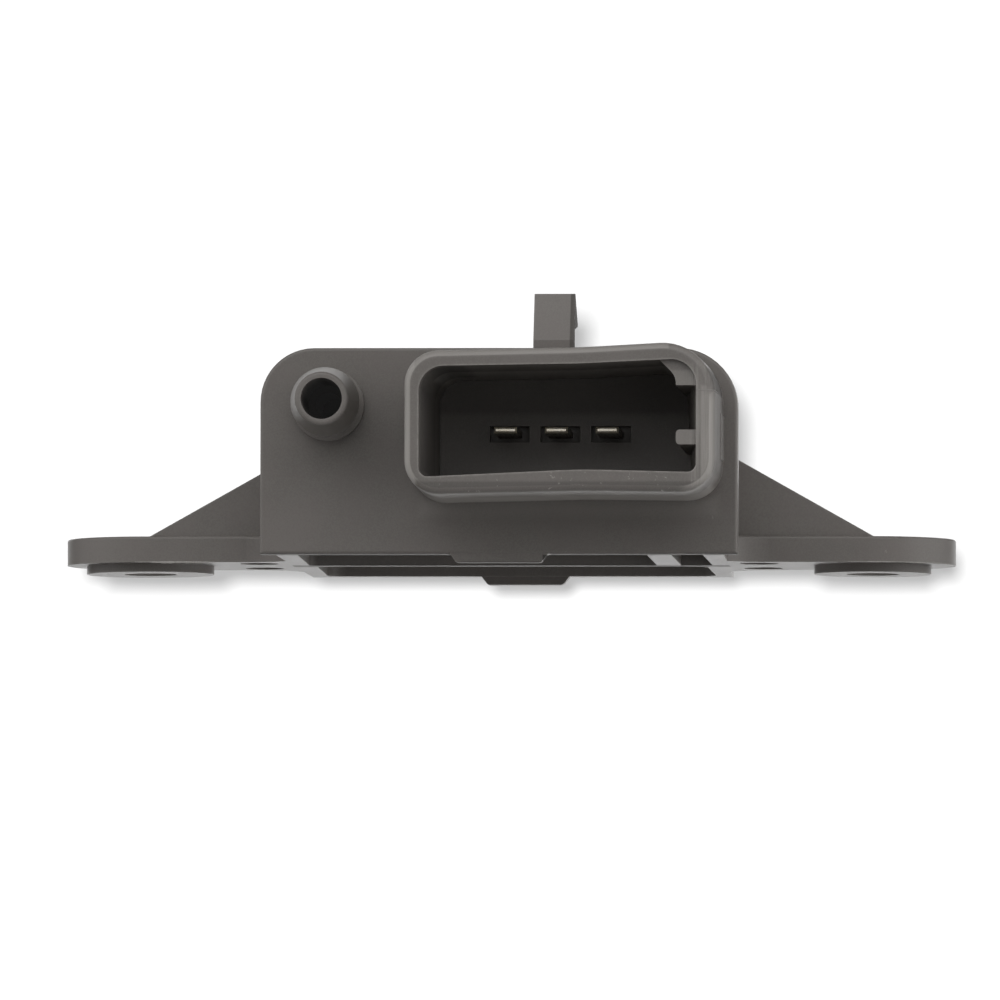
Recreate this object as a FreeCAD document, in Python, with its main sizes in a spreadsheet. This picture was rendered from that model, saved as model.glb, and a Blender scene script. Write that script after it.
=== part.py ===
import FreeCAD, Part
import math
import os
import re
import Sketcher

# Manifold absolute pressure sensor: a moulded housing with two mounting ears, a hose nipple and a
# three-blade connector on its front, and the pressure cell and its board in a chamber inside.
#
# Frame: +X along the two mounting holes, -Y towards the connector and the hose, +Z up, away from
# what the sensor is mounted on. The origin is midway between the holes, on the mounting plane.

# Driving dimensions in millimetres, and angles in degrees
SIZES = {
    # Mounting ears and their pads
    "hole_spacing": 72.6,
    "hole_diameter": 5.3,
    "left_pad_diameter": 12.8,
    "right_pad_diameter": 11.75,
    "pad_height": 0.85,
    "mount_setback": 25.0,
    "ear_end_radius": 8.35,
    "ear_thickness": 2.6,
    "ear_root_radius": 5.0,
    "ear_tip_flat": 0.02,
    "ear_edge_radius": 0.25,
    "gusset_angle": 29.4,
    "gusset_thickness": 2.0,
    "gusset_setback": 0.6,
    "left_gusset_reach": -0.35,
    "right_gusset_reach": 0.45,
    "pin_mark_diameter": 3.9,
    "pin_mark_position": 25.1,
    "pin_mark_spacing": 9.6,
    "pin_mark_depth": 0.25,
    # Front plate
    "plate_width": 47.75,
    "plate_height": 20.6,
    "plate_thickness": 2.4,
    "plate_left_radius": 5.4,
    "plate_right_radius": 6.0,
    "plate_edge_radius": 0.3,
    # Shell behind the plate
    "body_depth": 48.0,
    "shell_side_inset": 1.4,
    "shell_top_inset": 1.2,
    "shell_corner_radius": 4.6,
    "shell_side_draft": 1.5,
    "shell_top_draft": 0.5,
    "side_wall": 2.2,
    "rear_side_wall": 1.6,
    "rear_wall": 2.0,
    "roof_wall": 2.2,
    "partition_position": 14.7,
    "partition_wall": 2.4,
    "middle_wall_position": 23.8,
    "middle_wall": 2.3,
    "pocket_corner_radius": 1.8,
    # Small tabs under the front and the rear wall
    "front_tab_width": 9.8,
    "rear_tab_width": 8.9,
    "tab_thickness": 1.8,
    "tab_corner_radius": 0.5,
    "tab_taper": 0.65,
    "tab_setback": 0.1,
    "rear_tab_shift": 0.3,
    # Connector shroud
    "shroud_left": -8.6,
    "shroud_right": 22.35,
    "shroud_base_left": 5.06,
    "shroud_base_middle": 5.46,
    "shroud_base_right": 5.3,
    "shroud_top_left": 19.42,
    "shroud_top_middle": 19.8,
    "shroud_top_right": 20.55,
    "shroud_middle": 9.0,
    "shroud_length": 16.5,
    "shroud_draft": 0.25,
    "shroud_small_radius": 3.4,
    "shroud_large_radius": 5.2,
    "shroud_rim_radius": 0.75,
    "bow_radius": 60.0,
    # Cavity for the plug
    "cavity_left": -7.16,
    "cavity_right": 20.5,
    "cavity_floor_left": 6.85,
    "cavity_floor_middle": 7.6,
    "cavity_floor_right": 7.32,
    "cavity_top_left": 17.9,
    "cavity_top_middle": 18.15,
    "cavity_top_right": 18.7,
    "cavity_top_radius": 2.5,
    "cavity_floor_radius": 0.9,
    "cavity_depth": 20.5,
    "cavity_left_draft": 3.0,
    "cavity_right_draft": 5.4,
    "cavity_lower_right_draft": 3.8,
    "cavity_top_draft": 1.2,
    "connector_back_wall": 2.6,
    "connector_floor": 2.0,
    "mouth_flare": 0.15,
    "mouth_floor_flare": 0.75,
    "mouth_flare_depth": 1.2,
    "key_edge": 18.45,
    "key_setback": 0.6,
    "key_radius": 0.4,
    "upper_key_bottom": 16.0,
    "upper_key_radius": 3.6,
    "lower_key_bottom": 10.1,
    "lower_key_height": 1.48,
    # Latch nose on the shroud
    "latch_width": 4.07,
    "latch_top_width": 3.85,
    "latch_front": 9.6,
    "latch_foot_height": 1.06,
    "latch_height": 5.8,
    "latch_slope_length": 2.4,
    "latch_crest": 0.3,
    "latch_hook_length": 4.6,
    "latch_hook_height": 2.9,
    "latch_hook_tip": 0.15,
    "latch_undercut_height": 2.2,
    "latch_stem": 1.6,
    # Hose nipple and the passage to the pressure cell
    "nipple_position": -17.05,
    "nipple_height": 14.87,
    "nipple_length": 13.0,
    "nipple_bore": 4.12,
    "nipple_tip_diameter": 5.3,
    "nipple_tip_radius": 0.35,
    "barb_diameter": 6.91,
    "barb_length": 6.3,
    "barb_land": 0.35,
    "stem_diameter": 5.5,
    "collar_diameter": 7.2,
    "collar_length": 1.4,
    "passage_diameter": 2.6,
    "port_depth": 12.5,
    "port_boss_diameter": 8.0,
    "port_boss_bottom": 9.1,
    "seal_seat_diameter": 5.5,
    "seal_seat_depth": 2.1,
    "passage_wall": 1.4,
    "riser_gap": 0.12,
    # Terminals
    "terminal_pitch": 5.08,
    "terminal_position": 5.95,
    "terminal_height": 12.15,
    "terminal_width": 2.3,
    "terminal_thickness": 0.64,
    "terminal_reach": 8.3,
    "terminal_tip_chamfer": 0.2,
    "terminal_bend_radius": 0.8,
    "terminal_drop_setback": 1.7,
    "terminal_tail_width": 1.2,
    "terminal_tail_length": 1.1,
    "terminal_shoulder": 0.6,
    "recess_width": 3.95,
    "recess_height": 1.62,
    "recess_depth": 1.4,
    "mould_clearance": 0.02,
    # Chamber cover and its sealant
    "cover_recess": 1.5,
    "cover_thickness": 1.2,
    "cover_gap": 0.15,
    "cover_ledge": 0.8,
    "sealant_width": 1.1,
    "sealant_height": 0.5,
    # Circuit board
    "board_height": 4.0,
    "board_thickness": 1.6,
    "board_gap": 0.4,
    "board_hole_gap": 0.1,
    "column_size": 2.4,
    "column_inset": 2.0,
    "front_column_position": -6.0,
    "stake_diameter": 1.4,
    "stake_head_diameter": 2.4,
    "stake_head_height": 0.5,
    # Pressure cell
    "cell_width": 7.0,
    "cell_height": 2.4,
    "cell_wall": 0.9,
    "cell_floor": 0.6,
    "cell_offset": 2.0,
    "cap_thickness": 0.8,
    "port_tube_diameter": 2.6,
    "port_tube_bore": 1.2,
    "port_tube_height": 3.3,
    "die_width": 2.4,
    "die_height": 0.9,
    "membrane_depth": 0.18,
    "gel_height": 1.5,
    "lead_width": 0.5,
    "lead_thickness": 0.25,
    "lead_reach": 1.3,
    "lead_foot": 0.8,
    "lead_pitch": 2.54,
    "seal_section": 1.36,
    "seal_clearance": 0.02,
    # Components on the board
    "chip_length": 4.9,
    "chip_width": 3.9,
    "chip_height": 1.4,
    "chip_standoff": 0.15,
    "chip_position": -2.0,
    "chip_lead_pitch": 1.27,
    "chip_lead_width": 0.42,
    "component_row": 16.2,
    "capacitor_length": 2.0,
    "capacitor_width": 1.25,
    "capacitor_height": 1.2,
    "capacitor_row": 12.2,
    "resistor_length": 2.0,
    "resistor_width": 1.25,
    "resistor_height": 0.55,
    "resistor_pitch": 2.6,
    "resistor_position": 6.6,
    "solder_diameter": 2.6,
    "solder_tip_diameter": 1.5,
    "solder_height": 0.8,
}

# Places worked out from the sizes, each an expression in the part's own frame
PLACES = {
    "embed": "plate_thickness / 8",
    "hole_x": "hole_spacing / 2",
    "front_y": "-mount_setback",
    "rear_y": "front_y + body_depth",
    "rim_z": "pad_height",
    "ear_top": "rim_z + ear_thickness",
    "ear_middle": "rim_z + ear_thickness / 2",
    "plate_back": "front_y + plate_thickness",
    "plate_top": "rim_z + plate_height",
    "shell_half": "plate_width / 2 - shell_side_inset",
    "shell_rear_half": "shell_half - body_depth * tan(shell_side_draft)",
    "shell_top": "plate_top - shell_top_inset",
    "shell_rear_top": "shell_top - body_depth * tan(shell_top_draft)",
    "ceiling": "shell_top - roof_wall",
    "inner_half": "shell_half - side_wall",
    "chamber_back": "front_y + middle_wall_position",
    "pocket_front": "chamber_back + middle_wall",
    "pocket_half": "shell_rear_half - rear_side_wall",
    "pocket_back": "rear_y - rear_wall",
    "right_pocket_left": "partition_position + partition_wall",
    "gusset_root": "shell_rear_half + embed",
    "gusset_front": "-ear_end_radius + gusset_setback",
    "gusset_rear": "ear_end_radius - gusset_setback - gusset_thickness",
    "ledge_left": "-inner_half + cover_ledge",
    "ledge_right": "partition_position - cover_ledge",
    "ledge_front": "plate_back + cover_ledge",
    "ledge_back": "chamber_back - cover_ledge",
    "cover_z": "rim_z + cover_recess",
    "ledge_z": "cover_z + cover_thickness",
    "shroud_y": "front_y - shroud_length",
    "cavity_back": "shroud_y + cavity_depth",
    "wall_back": "cavity_back + connector_back_wall",
    "block_bottom": "rim_z + cavity_floor_left - connector_floor",
    "block_left": "cavity_left - connector_floor",
    "key_top": "rim_z + cavity_top_right",
    "latch_y": "front_y - latch_front",
    "latch_root": "rim_z + shroud_top_left - embed",
    "latch_base": "rim_z + shroud_top_middle",
    "latch_top": "latch_base + latch_height",
    "latch_crest_y": "latch_y + latch_slope_length",
    "latch_hook_y": "latch_crest_y + latch_crest + latch_hook_length",
    "latch_hook_z": "latch_top - latch_hook_height",
    "nipple_z": "rim_z + nipple_height",
    "port_y": "front_y + port_depth",
    "port_bottom": "rim_z + port_boss_bottom",
    "seal_top": "port_bottom + seal_seat_depth",
    "board_z": "rim_z + board_height",
    "board_top": "board_z + board_thickness",
    "board_left": "ledge_left + board_gap",
    "board_right": "ledge_right - board_gap",
    "board_front": "wall_back + board_gap",
    "board_back": "ledge_back - board_gap",
    "column_left": "board_left + column_inset",
    "column_right": "board_right - column_inset",
    "column_back": "board_back - column_inset",
    "column_front": "board_front + column_size / 2",
    "cell_x": "nipple_position + cell_offset",
    "cell_top": "board_top + cell_height",
    "cap_top": "cell_top + cap_thickness",
    "seal_z": "cap_top + (seal_top - cap_top) / 2",
    "terminal_z": "rim_z + terminal_height",
    "terminal_tip": "cavity_back - terminal_reach",
    "terminal_drop": "wall_back + terminal_drop_setback",
    "tail_bottom": "board_z - terminal_tail_length",
    "component_y": "front_y + component_row",
    "capacitor_y": "front_y + capacitor_row",
}

ORIGIN = (-1, 1)
TOLERANCE = 1e-4


def spelled(text):
    """Return an expression with every place worked out and every size read from the sheet."""
    def swap(match):
        word = match.group(0)
        if word in PLACES:
            return "(" + spelled(PLACES[word]) + ")"
        if word in SIZES:
            return "Sizes." + word
        return word
    return re.sub(r"[a-z][a-z_0-9]+", swap, str(text))


def number(text):
    """Return the present value of an expression."""
    return float(doc.Sizes.evalExpression(spelled(text)))


def bind(thing, **properties):
    """Bind properties of a document object to expressions."""
    for name, text in properties.items():
        thing.setExpression(name, spelled(text))
    return thing


def fill_sheet():
    """Write each driving dimension in a cell of its own, with its name as the alias."""
    sheet = doc.addObject("Spreadsheet::Sheet", "Sizes")
    for row, (name, value) in enumerate(SIZES.items(), 1):
        sheet.set("A%d" % row, name)
        sheet.set("B%d" % row, str(value))
        sheet.setAlias("B%d" % row, name)
    doc.recompute()


def new_body(name):
    """Start a sub-part whose label is the name of its file."""
    body = doc.addObject("PartDesign::Body", name)
    body.Label = name
    return body


def new_sketch(body, name, plane, at="0", shift=None):
    """Attach a sketch to one of the body's origin planes, at a distance along that plane's axis."""
    sketch = body.newObject("Sketcher::SketchObject", name)
    support = [each for each in body.Origin.OriginFeatures if each.Role == plane + "_Plane"][0]
    sketch.AttachmentSupport = [(support, "")]
    sketch.MapMode = "FlatFace"
    # The XZ plane faces -Y, so a place along Y is a negative offset
    offset = "-(%s)" % at if plane == "XZ" else at
    sketch.setExpression("AttachmentOffset.Base.z", spelled(offset))
    if shift:
        sketch.setExpression("AttachmentOffset.Base.x", spelled(shift))
    return sketch


def pin_point(sketch, geometry, position, x_text, y_text):
    """Hold a sketch point at two expressions from the sketch's origin."""
    for kind, text in (("DistanceX", x_text), ("DistanceY", y_text)):
        rule = Sketcher.Constraint(kind, ORIGIN[0], ORIGIN[1], geometry, position, number(text))
        index = sketch.addConstraint(rule)
        sketch.setExpression("Constraints[%d]" % index, spelled(text))


def hold_radius(sketch, geometry, text):
    """Hold a circle's or an arc's radius at an expression."""
    index = sketch.addConstraint(Sketcher.Constraint("Radius", geometry, number(text)))
    sketch.setExpression("Constraints[%d]" % index, spelled(text))


def draw_circle(sketch, x_text, y_text, radius):
    """Draw a circle with its centre and its radius held."""
    centre = FreeCAD.Vector(number(x_text), number(y_text), 0)
    circle = Part.Circle(centre, FreeCAD.Vector(0, 0, 1), number(radius))
    index = sketch.addGeometry(circle)
    pin_point(sketch, index, 3, x_text, y_text)
    hold_radius(sketch, index, radius)


def draw_outline(sketch, corners):
    """Draw a closed outline through corners (x, y) or, where rounded, (x, y, radius)."""
    count = len(corners)
    points = [FreeCAD.Vector(number(each[0]), number(each[1]), 0) for each in corners]
    ends = []
    arcs = {}
    for i, corner in enumerate(corners):
        before = (points[i - 1] - points[i]).normalize()
        after = (points[(i + 1) % count] - points[i]).normalize()
        if len(corner) == 2:
            ends.append((points[i], points[i]))
            continue
        half = before.getAngle(after) / 2
        reach = number(corner[2]) / math.tan(half)
        start, end = points[i] + before * reach, points[i] + after * reach
        bisector = (before + after).normalize()
        depth = number(corner[2]) * (1 / math.sin(half) - 1)
        ends.append((start, end))
        arcs[i] = Part.Arc(start, points[i] + bisector * depth, end)
    lines = []
    for i in range(count):
        line = Part.LineSegment(ends[i][1], ends[(i + 1) % count][0])
        lines.append(sketch.addGeometry(line))
    for i, corner in enumerate(corners):
        into, away = lines[i - 1], lines[i]
        if i not in arcs:
            sketch.addConstraint(Sketcher.Constraint("Coincident", into, 2, away, 1))
            pin_point(sketch, away, 1, corner[0], corner[1])
            continue
        arc = sketch.addGeometry(arcs[i])
        first, last = arc_ends(sketch, arc, ends[i][0])
        sketch.addConstraint(Sketcher.Constraint("Tangent", into, 2, arc, first))
        sketch.addConstraint(Sketcher.Constraint("Tangent", arc, last, away, 1))
        mark = sketch.addGeometry(Part.Point(points[i]), True)
        sketch.addConstraint(Sketcher.Constraint("PointOnObject", mark, 1, into))
        sketch.addConstraint(Sketcher.Constraint("PointOnObject", mark, 1, away))
        pin_point(sketch, mark, 1, corner[0], corner[1])
        hold_radius(sketch, arc, corner[2])


def arc_ends(sketch, arc, start):
    """Return which end of a sketched arc lies at its start, and which at its end."""
    if sketch.getPoint(arc, 1).distanceToPoint(start) < TOLERANCE:
        return 1, 2
    return 2, 1


def box_corners(left, bottom, right, top, radius=None):
    """Return the corners of a rectangle, all rounded if a radius is given."""
    corners = [(left, bottom), (right, bottom), (right, top), (left, top)]
    return [each + (radius,) for each in corners] if radius else corners


def extrude(body, kind, name, sketch, length, forward=True, taper=None):
    """Pad or pocket a sketch along its plane's normal, or against it."""
    feature = body.newObject("PartDesign::" + kind, name)
    feature.Profile = sketch
    bind(feature, Length=length)
    # A pad grows along the normal and a pocket cuts against it unless reversed
    feature.Reversed = not forward if kind == "Pad" else forward
    if taper:
        bind(feature, TaperAngle=taper)
    sketch.Visibility = False
    doc.recompute()
    return feature


def volume(body):
    """Return the body's present volume."""
    doc.recompute()
    return body.Shape.Volume


def cut(body, name, sketch, length, forward=True, taper=None):
    """Pocket a sketch and make sure that it took something away."""
    before = volume(body)
    feature = extrude(body, "Pocket", name, sketch, length, forward, taper)
    if body.Shape.Volume >= before - TOLERANCE:
        raise RuntimeError("pocket %s cuts nothing" % name)
    return feature


def grow(body, name, sketch, length, forward=True, taper=None):
    """Pad a sketch and make sure that it added something."""
    before = volume(body) if body.Tip else 0.0
    feature = extrude(body, "Pad", name, sketch, length, forward, taper)
    if body.Shape.Volume <= before + TOLERANCE:
        raise RuntimeError("pad %s adds nothing" % name)
    return feature


def edges_at(feature, test):
    """Return the names of the feature's edges whose every vertex passes a test."""
    names = []
    for index, edge in enumerate(feature.Shape.Edges, 1):
        if all(test(vertex.Point) for vertex in edge.Vertexes):
            names.append("Edge%d" % index)
    return names


def dress(body, kind, name, feature, edges, **properties):
    """Fillet or chamfer named edges of the body's last feature."""
    if not edges:
        raise RuntimeError("%s found no edges" % name)
    dressed = body.newObject("PartDesign::" + kind, name)
    dressed.Base = (feature, edges)
    bind(dressed, **properties)
    doc.recompute()
    return dressed


def near(value, text):
    """Say whether a coordinate lies at an expression."""
    return abs(value - number(text)) < TOLERANCE


def arch(half, top, radius, bottom="rim_z"):
    """Return the outline of a wall section with rounded upper corners."""
    left = "-(%s)" % half
    return [(left, bottom), (half, bottom), (half, top, radius), (left, top, radius)]


def add_shell(body):
    """Loft the drafted shell, then put the front plate on it."""
    front = new_sketch(body, "ShellFront", "XZ", "front_y + plate_thickness / 2")
    draw_outline(front, arch("shell_half", "shell_top", "shell_corner_radius"))
    rear = new_sketch(body, "ShellRear", "XZ", "rear_y")
    draw_outline(rear, arch("shell_rear_half", "shell_rear_top", "shell_corner_radius"))
    shell = body.newObject("PartDesign::AdditiveLoft", "Shell")
    shell.Profile = front
    shell.Sections = [rear]
    shell.Ruled = True
    doc.recompute()
    plate = new_sketch(body, "PlateOutline", "XZ", "front_y")
    half = "plate_width / 2"
    draw_outline(plate, [
        ("-(%s)" % half, "rim_z"), (half, "rim_z"),
        (half, "plate_top", "plate_right_radius"), ("-(%s)" % half, "plate_top", "plate_left_radius"),
    ])
    pad = grow(body, "Plate", plate, "plate_thickness", forward=False)
    edges = edges_at(pad, lambda point: near(point.y, "front_y"))
    dress(body, "Fillet", "PlateEdge", pad, edges, Radius="plate_edge_radius")


def ear_outline():
    """Return both ears and the strip between them as one outline with hollow root corners."""
    tip = "hole_x + ear_end_radius"
    root = "shell_rear_half"
    reach = "ear_end_radius + ear_root_radius + embed"
    corners = []
    for x_sign, y_sign in ((-1, -1), (1, -1), (1, 1), (-1, 1)):
        side = [
            ("%d * (%s)" % (x_sign, tip), "%d * ear_end_radius" % y_sign, "ear_end_radius - ear_tip_flat / 2"),
            ("%d * %s" % (x_sign, root), "%d * ear_end_radius" % y_sign, "ear_root_radius"),
            ("%d * %s" % (x_sign, root), "%d * (%s)" % (y_sign, reach)),
        ]
        corners += side if x_sign * y_sign > 0 else side[::-1]
    return corners


def add_ears(body):
    """Add both ears with their pads, gussets and screw holes."""
    ears = new_sketch(body, "EarOutline", "XY", "rim_z")
    draw_outline(ears, ear_outline())
    slab = grow(body, "Ears", ears, "ear_thickness")
    wall = number("shell_half")

    edges = edges_at(slab, lambda point: abs(point.x) > wall and near(point.z, "ear_top"))
    dress(body, "Fillet", "EarEdges", slab, edges, Radius="ear_edge_radius")
    for name, place in (("FrontGussets", "gusset_front"), ("RearGussets", "gusset_rear")):
        webs = new_sketch(body, name + "Outline", "XZ", place)
        for side, reach in (("-", "left_gusset_reach"), ("", "right_gusset_reach")):
            foot = "%s(hole_x + %s)" % (side, reach)
            top = "ear_top + (hole_x + %s - gusset_root) * tan(gusset_angle)" % reach
            draw_outline(webs, [
                (foot, "ear_top"),
                (side + "gusset_root", top),
                (side + "gusset_root", "ear_middle"),
                (foot, "ear_middle"),
            ])
        grow(body, name, webs, "gusset_thickness", forward=False)
    pads = new_sketch(body, "PadOutline", "XY", "0")
    draw_circle(pads, "-hole_x", "0", "left_pad_diameter / 2")
    draw_circle(pads, "hole_x", "0", "right_pad_diameter / 2")
    grow(body, "Pads", pads, "pad_height + embed")
    marks = new_sketch(body, "PinMarkOutline", "XY", "rim_z")
    for side in ("-", ""):
        for row in ("-", ""):
            draw_circle(marks, side + "pin_mark_position", row + "pin_mark_spacing / 2",
                        "pin_mark_diameter / 2")
    cut(body, "PinMarks", marks, "pin_mark_depth")
    holes = new_sketch(body, "HoleOutline", "XY", "0")
    for side in ("-", ""):
        draw_circle(holes, side + "hole_x", "0", "hole_diameter / 2")
    cut(body, "ScrewHoles", holes, "ear_top + embed")


def add_tabs(body):
    """Hang the two small tabs under the front and the rear wall, down to the mounting plane."""
    places = {"FrontTab": ("front_y + tab_setback", "front_tab_width", None),
              "RearTab": ("rear_y - tab_thickness - tab_setback", "rear_tab_width", "rear_tab_shift")}
    for name, (place, width, shift) in places.items():
        top, low = width + " / 2", width + " / 2 - tab_taper"
        outline = new_sketch(body, name + "Outline", "XZ", place, shift)
        draw_outline(outline, [
            ("-(%s)" % low, "0", "tab_corner_radius"), (low, "0", "tab_corner_radius"),
            (top, "rim_z"), (top, "rim_z + embed"),
            ("-(%s)" % top, "rim_z + embed"), ("-(%s)" % top, "rim_z"),
        ])
        grow(body, name, outline, "tab_thickness", forward=False)


def add_chambers(body):
    """Hollow the shell from below: the cover's recess, the chamber above it and the open pockets."""
    recess = new_sketch(body, "RecessOutline", "XY", "rim_z")
    draw_outline(recess, box_corners("-inner_half", "plate_back", "partition_position", "chamber_back",
                                     "cover_ledge"))
    cut(body, "CoverRecess", recess, "ledge_z - rim_z")
    chamber = new_sketch(body, "ChamberOutline", "XY", "ledge_z")
    draw_outline(chamber, box_corners("ledge_left", "ledge_front", "ledge_right", "ledge_back"))
    cut(body, "Chamber", chamber, "ceiling - ledge_z")
    pockets = new_sketch(body, "PocketOutline", "XY", "rim_z")
    draw_outline(pockets, box_corners("right_pocket_left", "plate_back", "inner_half", "chamber_back"))
    draw_outline(pockets, box_corners("-pocket_half", "pocket_front", "pocket_half", "pocket_back",
                                      "pocket_corner_radius"))
    cut(body, "OpenPockets", pockets, "ceiling - rim_z")


def add_connector(body):
    """Add the shroud, hollow it for the plug and leave the key ribs on its right wall."""
    block = new_sketch(body, "BackBlockOutline", "XZ", "plate_back - embed")
    draw_outline(block, box_corners("block_left", "block_bottom", "shell_rear_half", "ceiling + embed"))
    grow(body, "BackBlock", block, "wall_back - plate_back + embed", forward=False)
    outline = new_sketch(body, "ShroudOutline", "XZ", "shroud_y")
    draw_outline(outline, [
        ("shroud_left", "rim_z + shroud_base_left", "shroud_small_radius"),
        ("shroud_middle", "rim_z + shroud_base_middle", "bow_radius"),
        ("shroud_right", "rim_z + shroud_base_right", "shroud_small_radius"),
        ("shroud_right", "rim_z + shroud_top_right", "shroud_large_radius"),
        ("shroud_middle", "rim_z + shroud_top_middle", "bow_radius"),
        ("shroud_left", "rim_z + shroud_top_left", "shroud_small_radius"),
    ])
    shroud = grow(body, "Shroud", outline, "shroud_length + embed", forward=False, taper="shroud_draft")
    rim = edges_at(shroud, lambda point: near(point.y, "shroud_y"))
    dress(body, "Fillet", "ShroudRim", shroud, rim, Radius="shroud_rim_radius")
    add_cavity(body)
    add_keys(body)


def cavity_outline(left, right_low, right_high, drop, rise="0"):
    """Return the section of the plug cavity, with its bowed floor and its sloping top."""
    return [
        (left, "rim_z + cavity_floor_left + %s" % rise, "cavity_floor_radius"),
        ("shroud_middle", "rim_z + cavity_floor_middle + %s" % rise, "bow_radius"),
        (right_low, "rim_z + cavity_floor_right + %s" % rise, "cavity_floor_radius"),
        (right_high, "rim_z + cavity_top_right - %s" % drop, "cavity_top_radius"),
        ("shroud_middle", "rim_z + cavity_top_middle - %s" % drop, "bow_radius"),
        (left, "rim_z + cavity_top_left - %s" % drop, "cavity_top_radius"),
    ]


def add_cavity(body):
    """Cut the plug cavity as a drafted loft from the rim to its back wall."""
    before = volume(body)
    mouth = new_sketch(body, "CavityMouth", "XZ", "shroud_y")
    draw_outline(mouth, cavity_outline("cavity_left", "cavity_right", "cavity_right", "0"))
    back = new_sketch(body, "CavityBack", "XZ", "cavity_back")
    draw_outline(back, cavity_outline(
        "cavity_left + cavity_depth * tan(cavity_left_draft)",
        "cavity_right - cavity_depth * tan(cavity_lower_right_draft)",
        "cavity_right - cavity_depth * tan(cavity_right_draft)",
        "cavity_depth * tan(cavity_top_draft)"))
    cavity = body.newObject("PartDesign::SubtractiveLoft", "Cavity")
    cavity.Profile = mouth
    cavity.Sections = [back]
    cavity.Ruled = True
    if volume(body) >= before - TOLERANCE:
        raise RuntimeError("the cavity cuts nothing")
    add_mouth_flare(body)


def add_mouth_flare(body):
    """Open the cavity's mouth a little on all sides and more at its floor, to lead the plug in."""
    before = volume(body)
    mouth = new_sketch(body, "FlareMouth", "XZ", "shroud_y")
    draw_outline(mouth, cavity_outline("cavity_left - mouth_flare", "cavity_right + mouth_flare",
                                       "cavity_right + mouth_flare", "(-mouth_flare)",
                                       "(-mouth_floor_flare)"))
    # The flare's inner section lies inside the cavity, so that the two surfaces cross cleanly
    inner = new_sketch(body, "FlareInner", "XZ", "shroud_y + mouth_flare_depth")
    draw_outline(inner, cavity_outline("cavity_left + 2 * mouth_flare", "cavity_right - 2 * mouth_flare",
                                       "cavity_right - 2 * mouth_flare", "2 * mouth_flare",
                                       "2 * mouth_flare"))
    flare = body.newObject("PartDesign::SubtractiveLoft", "MouthFlare")
    flare.Profile = mouth
    flare.Sections = [inner]
    flare.Ruled = True
    if volume(body) >= before - TOLERANCE:
        raise RuntimeError("the flare cuts nothing")


def add_keys(body):
    """Add the two key ribs on the cavity's right wall, with the keyways left between them."""
    keys = new_sketch(body, "KeyOutline", "XZ", "shroud_y + key_setback")
    outside = "(cavity_right + shroud_right) / 2"
    draw_outline(keys, [
        ("key_edge", "rim_z + lower_key_bottom", "key_radius"),
        (outside, "rim_z + lower_key_bottom"),
        (outside, "rim_z + lower_key_bottom + lower_key_height"),
        ("key_edge", "rim_z + lower_key_bottom + lower_key_height", "key_radius"),
    ])
    draw_outline(keys, [
        ("key_edge", "rim_z + upper_key_bottom"),
        (outside, "rim_z + upper_key_bottom"),
        (outside, "key_top - cavity_top_radius / 2"),
        ("cavity_right - cavity_top_radius / 2", "key_top + embed"),
        ("key_edge - upper_key_radius / 2", "key_top"),
        ("key_edge", "key_top - upper_key_radius / 2", "upper_key_radius / 2"),
    ])
    grow(body, "Keys", keys, "cavity_depth - key_setback + embed", forward=False)


def add_latch(body):
    """Add the latch nose: a stem on the shroud with a sloping front and a hook to the rear."""
    profile = new_sketch(body, "LatchProfile", "YZ", "terminal_position - latch_width / 2")
    stem_back = "latch_y + latch_stem"
    draw_outline(profile, [
        ("latch_y", "latch_root"),
        (stem_back, "latch_root"),
        (stem_back, "latch_base + latch_undercut_height"),
        ("latch_hook_y", "latch_hook_z - latch_hook_tip"),
        ("latch_hook_y", "latch_hook_z + latch_hook_tip"),
        ("latch_crest_y + latch_crest", "latch_top"),
        ("latch_crest_y", "latch_top"),
        ("latch_y", "latch_base + latch_foot_height"),
    ])
    grow(body, "Latch", profile, "latch_width")
    shave = new_sketch(body, "LatchTaper", "XZ", "latch_y - embed")
    half, top_half = "latch_width / 2", "latch_top_width / 2"
    for sign in ("-", "+"):
        draw_outline(shave, [
            ("terminal_position %s %s" % (sign, half), "latch_base"),
            ("terminal_position %s (%s + embed)" % (sign, half), "latch_base"),
            ("terminal_position %s (%s + embed)" % (sign, half), "latch_top + embed"),
            ("terminal_position %s (%s)" % (sign, top_half), "latch_top + embed"),
        ])
    cut(body, "LatchSides", shave, "latch_hook_y - latch_y + 2 * embed")


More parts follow.
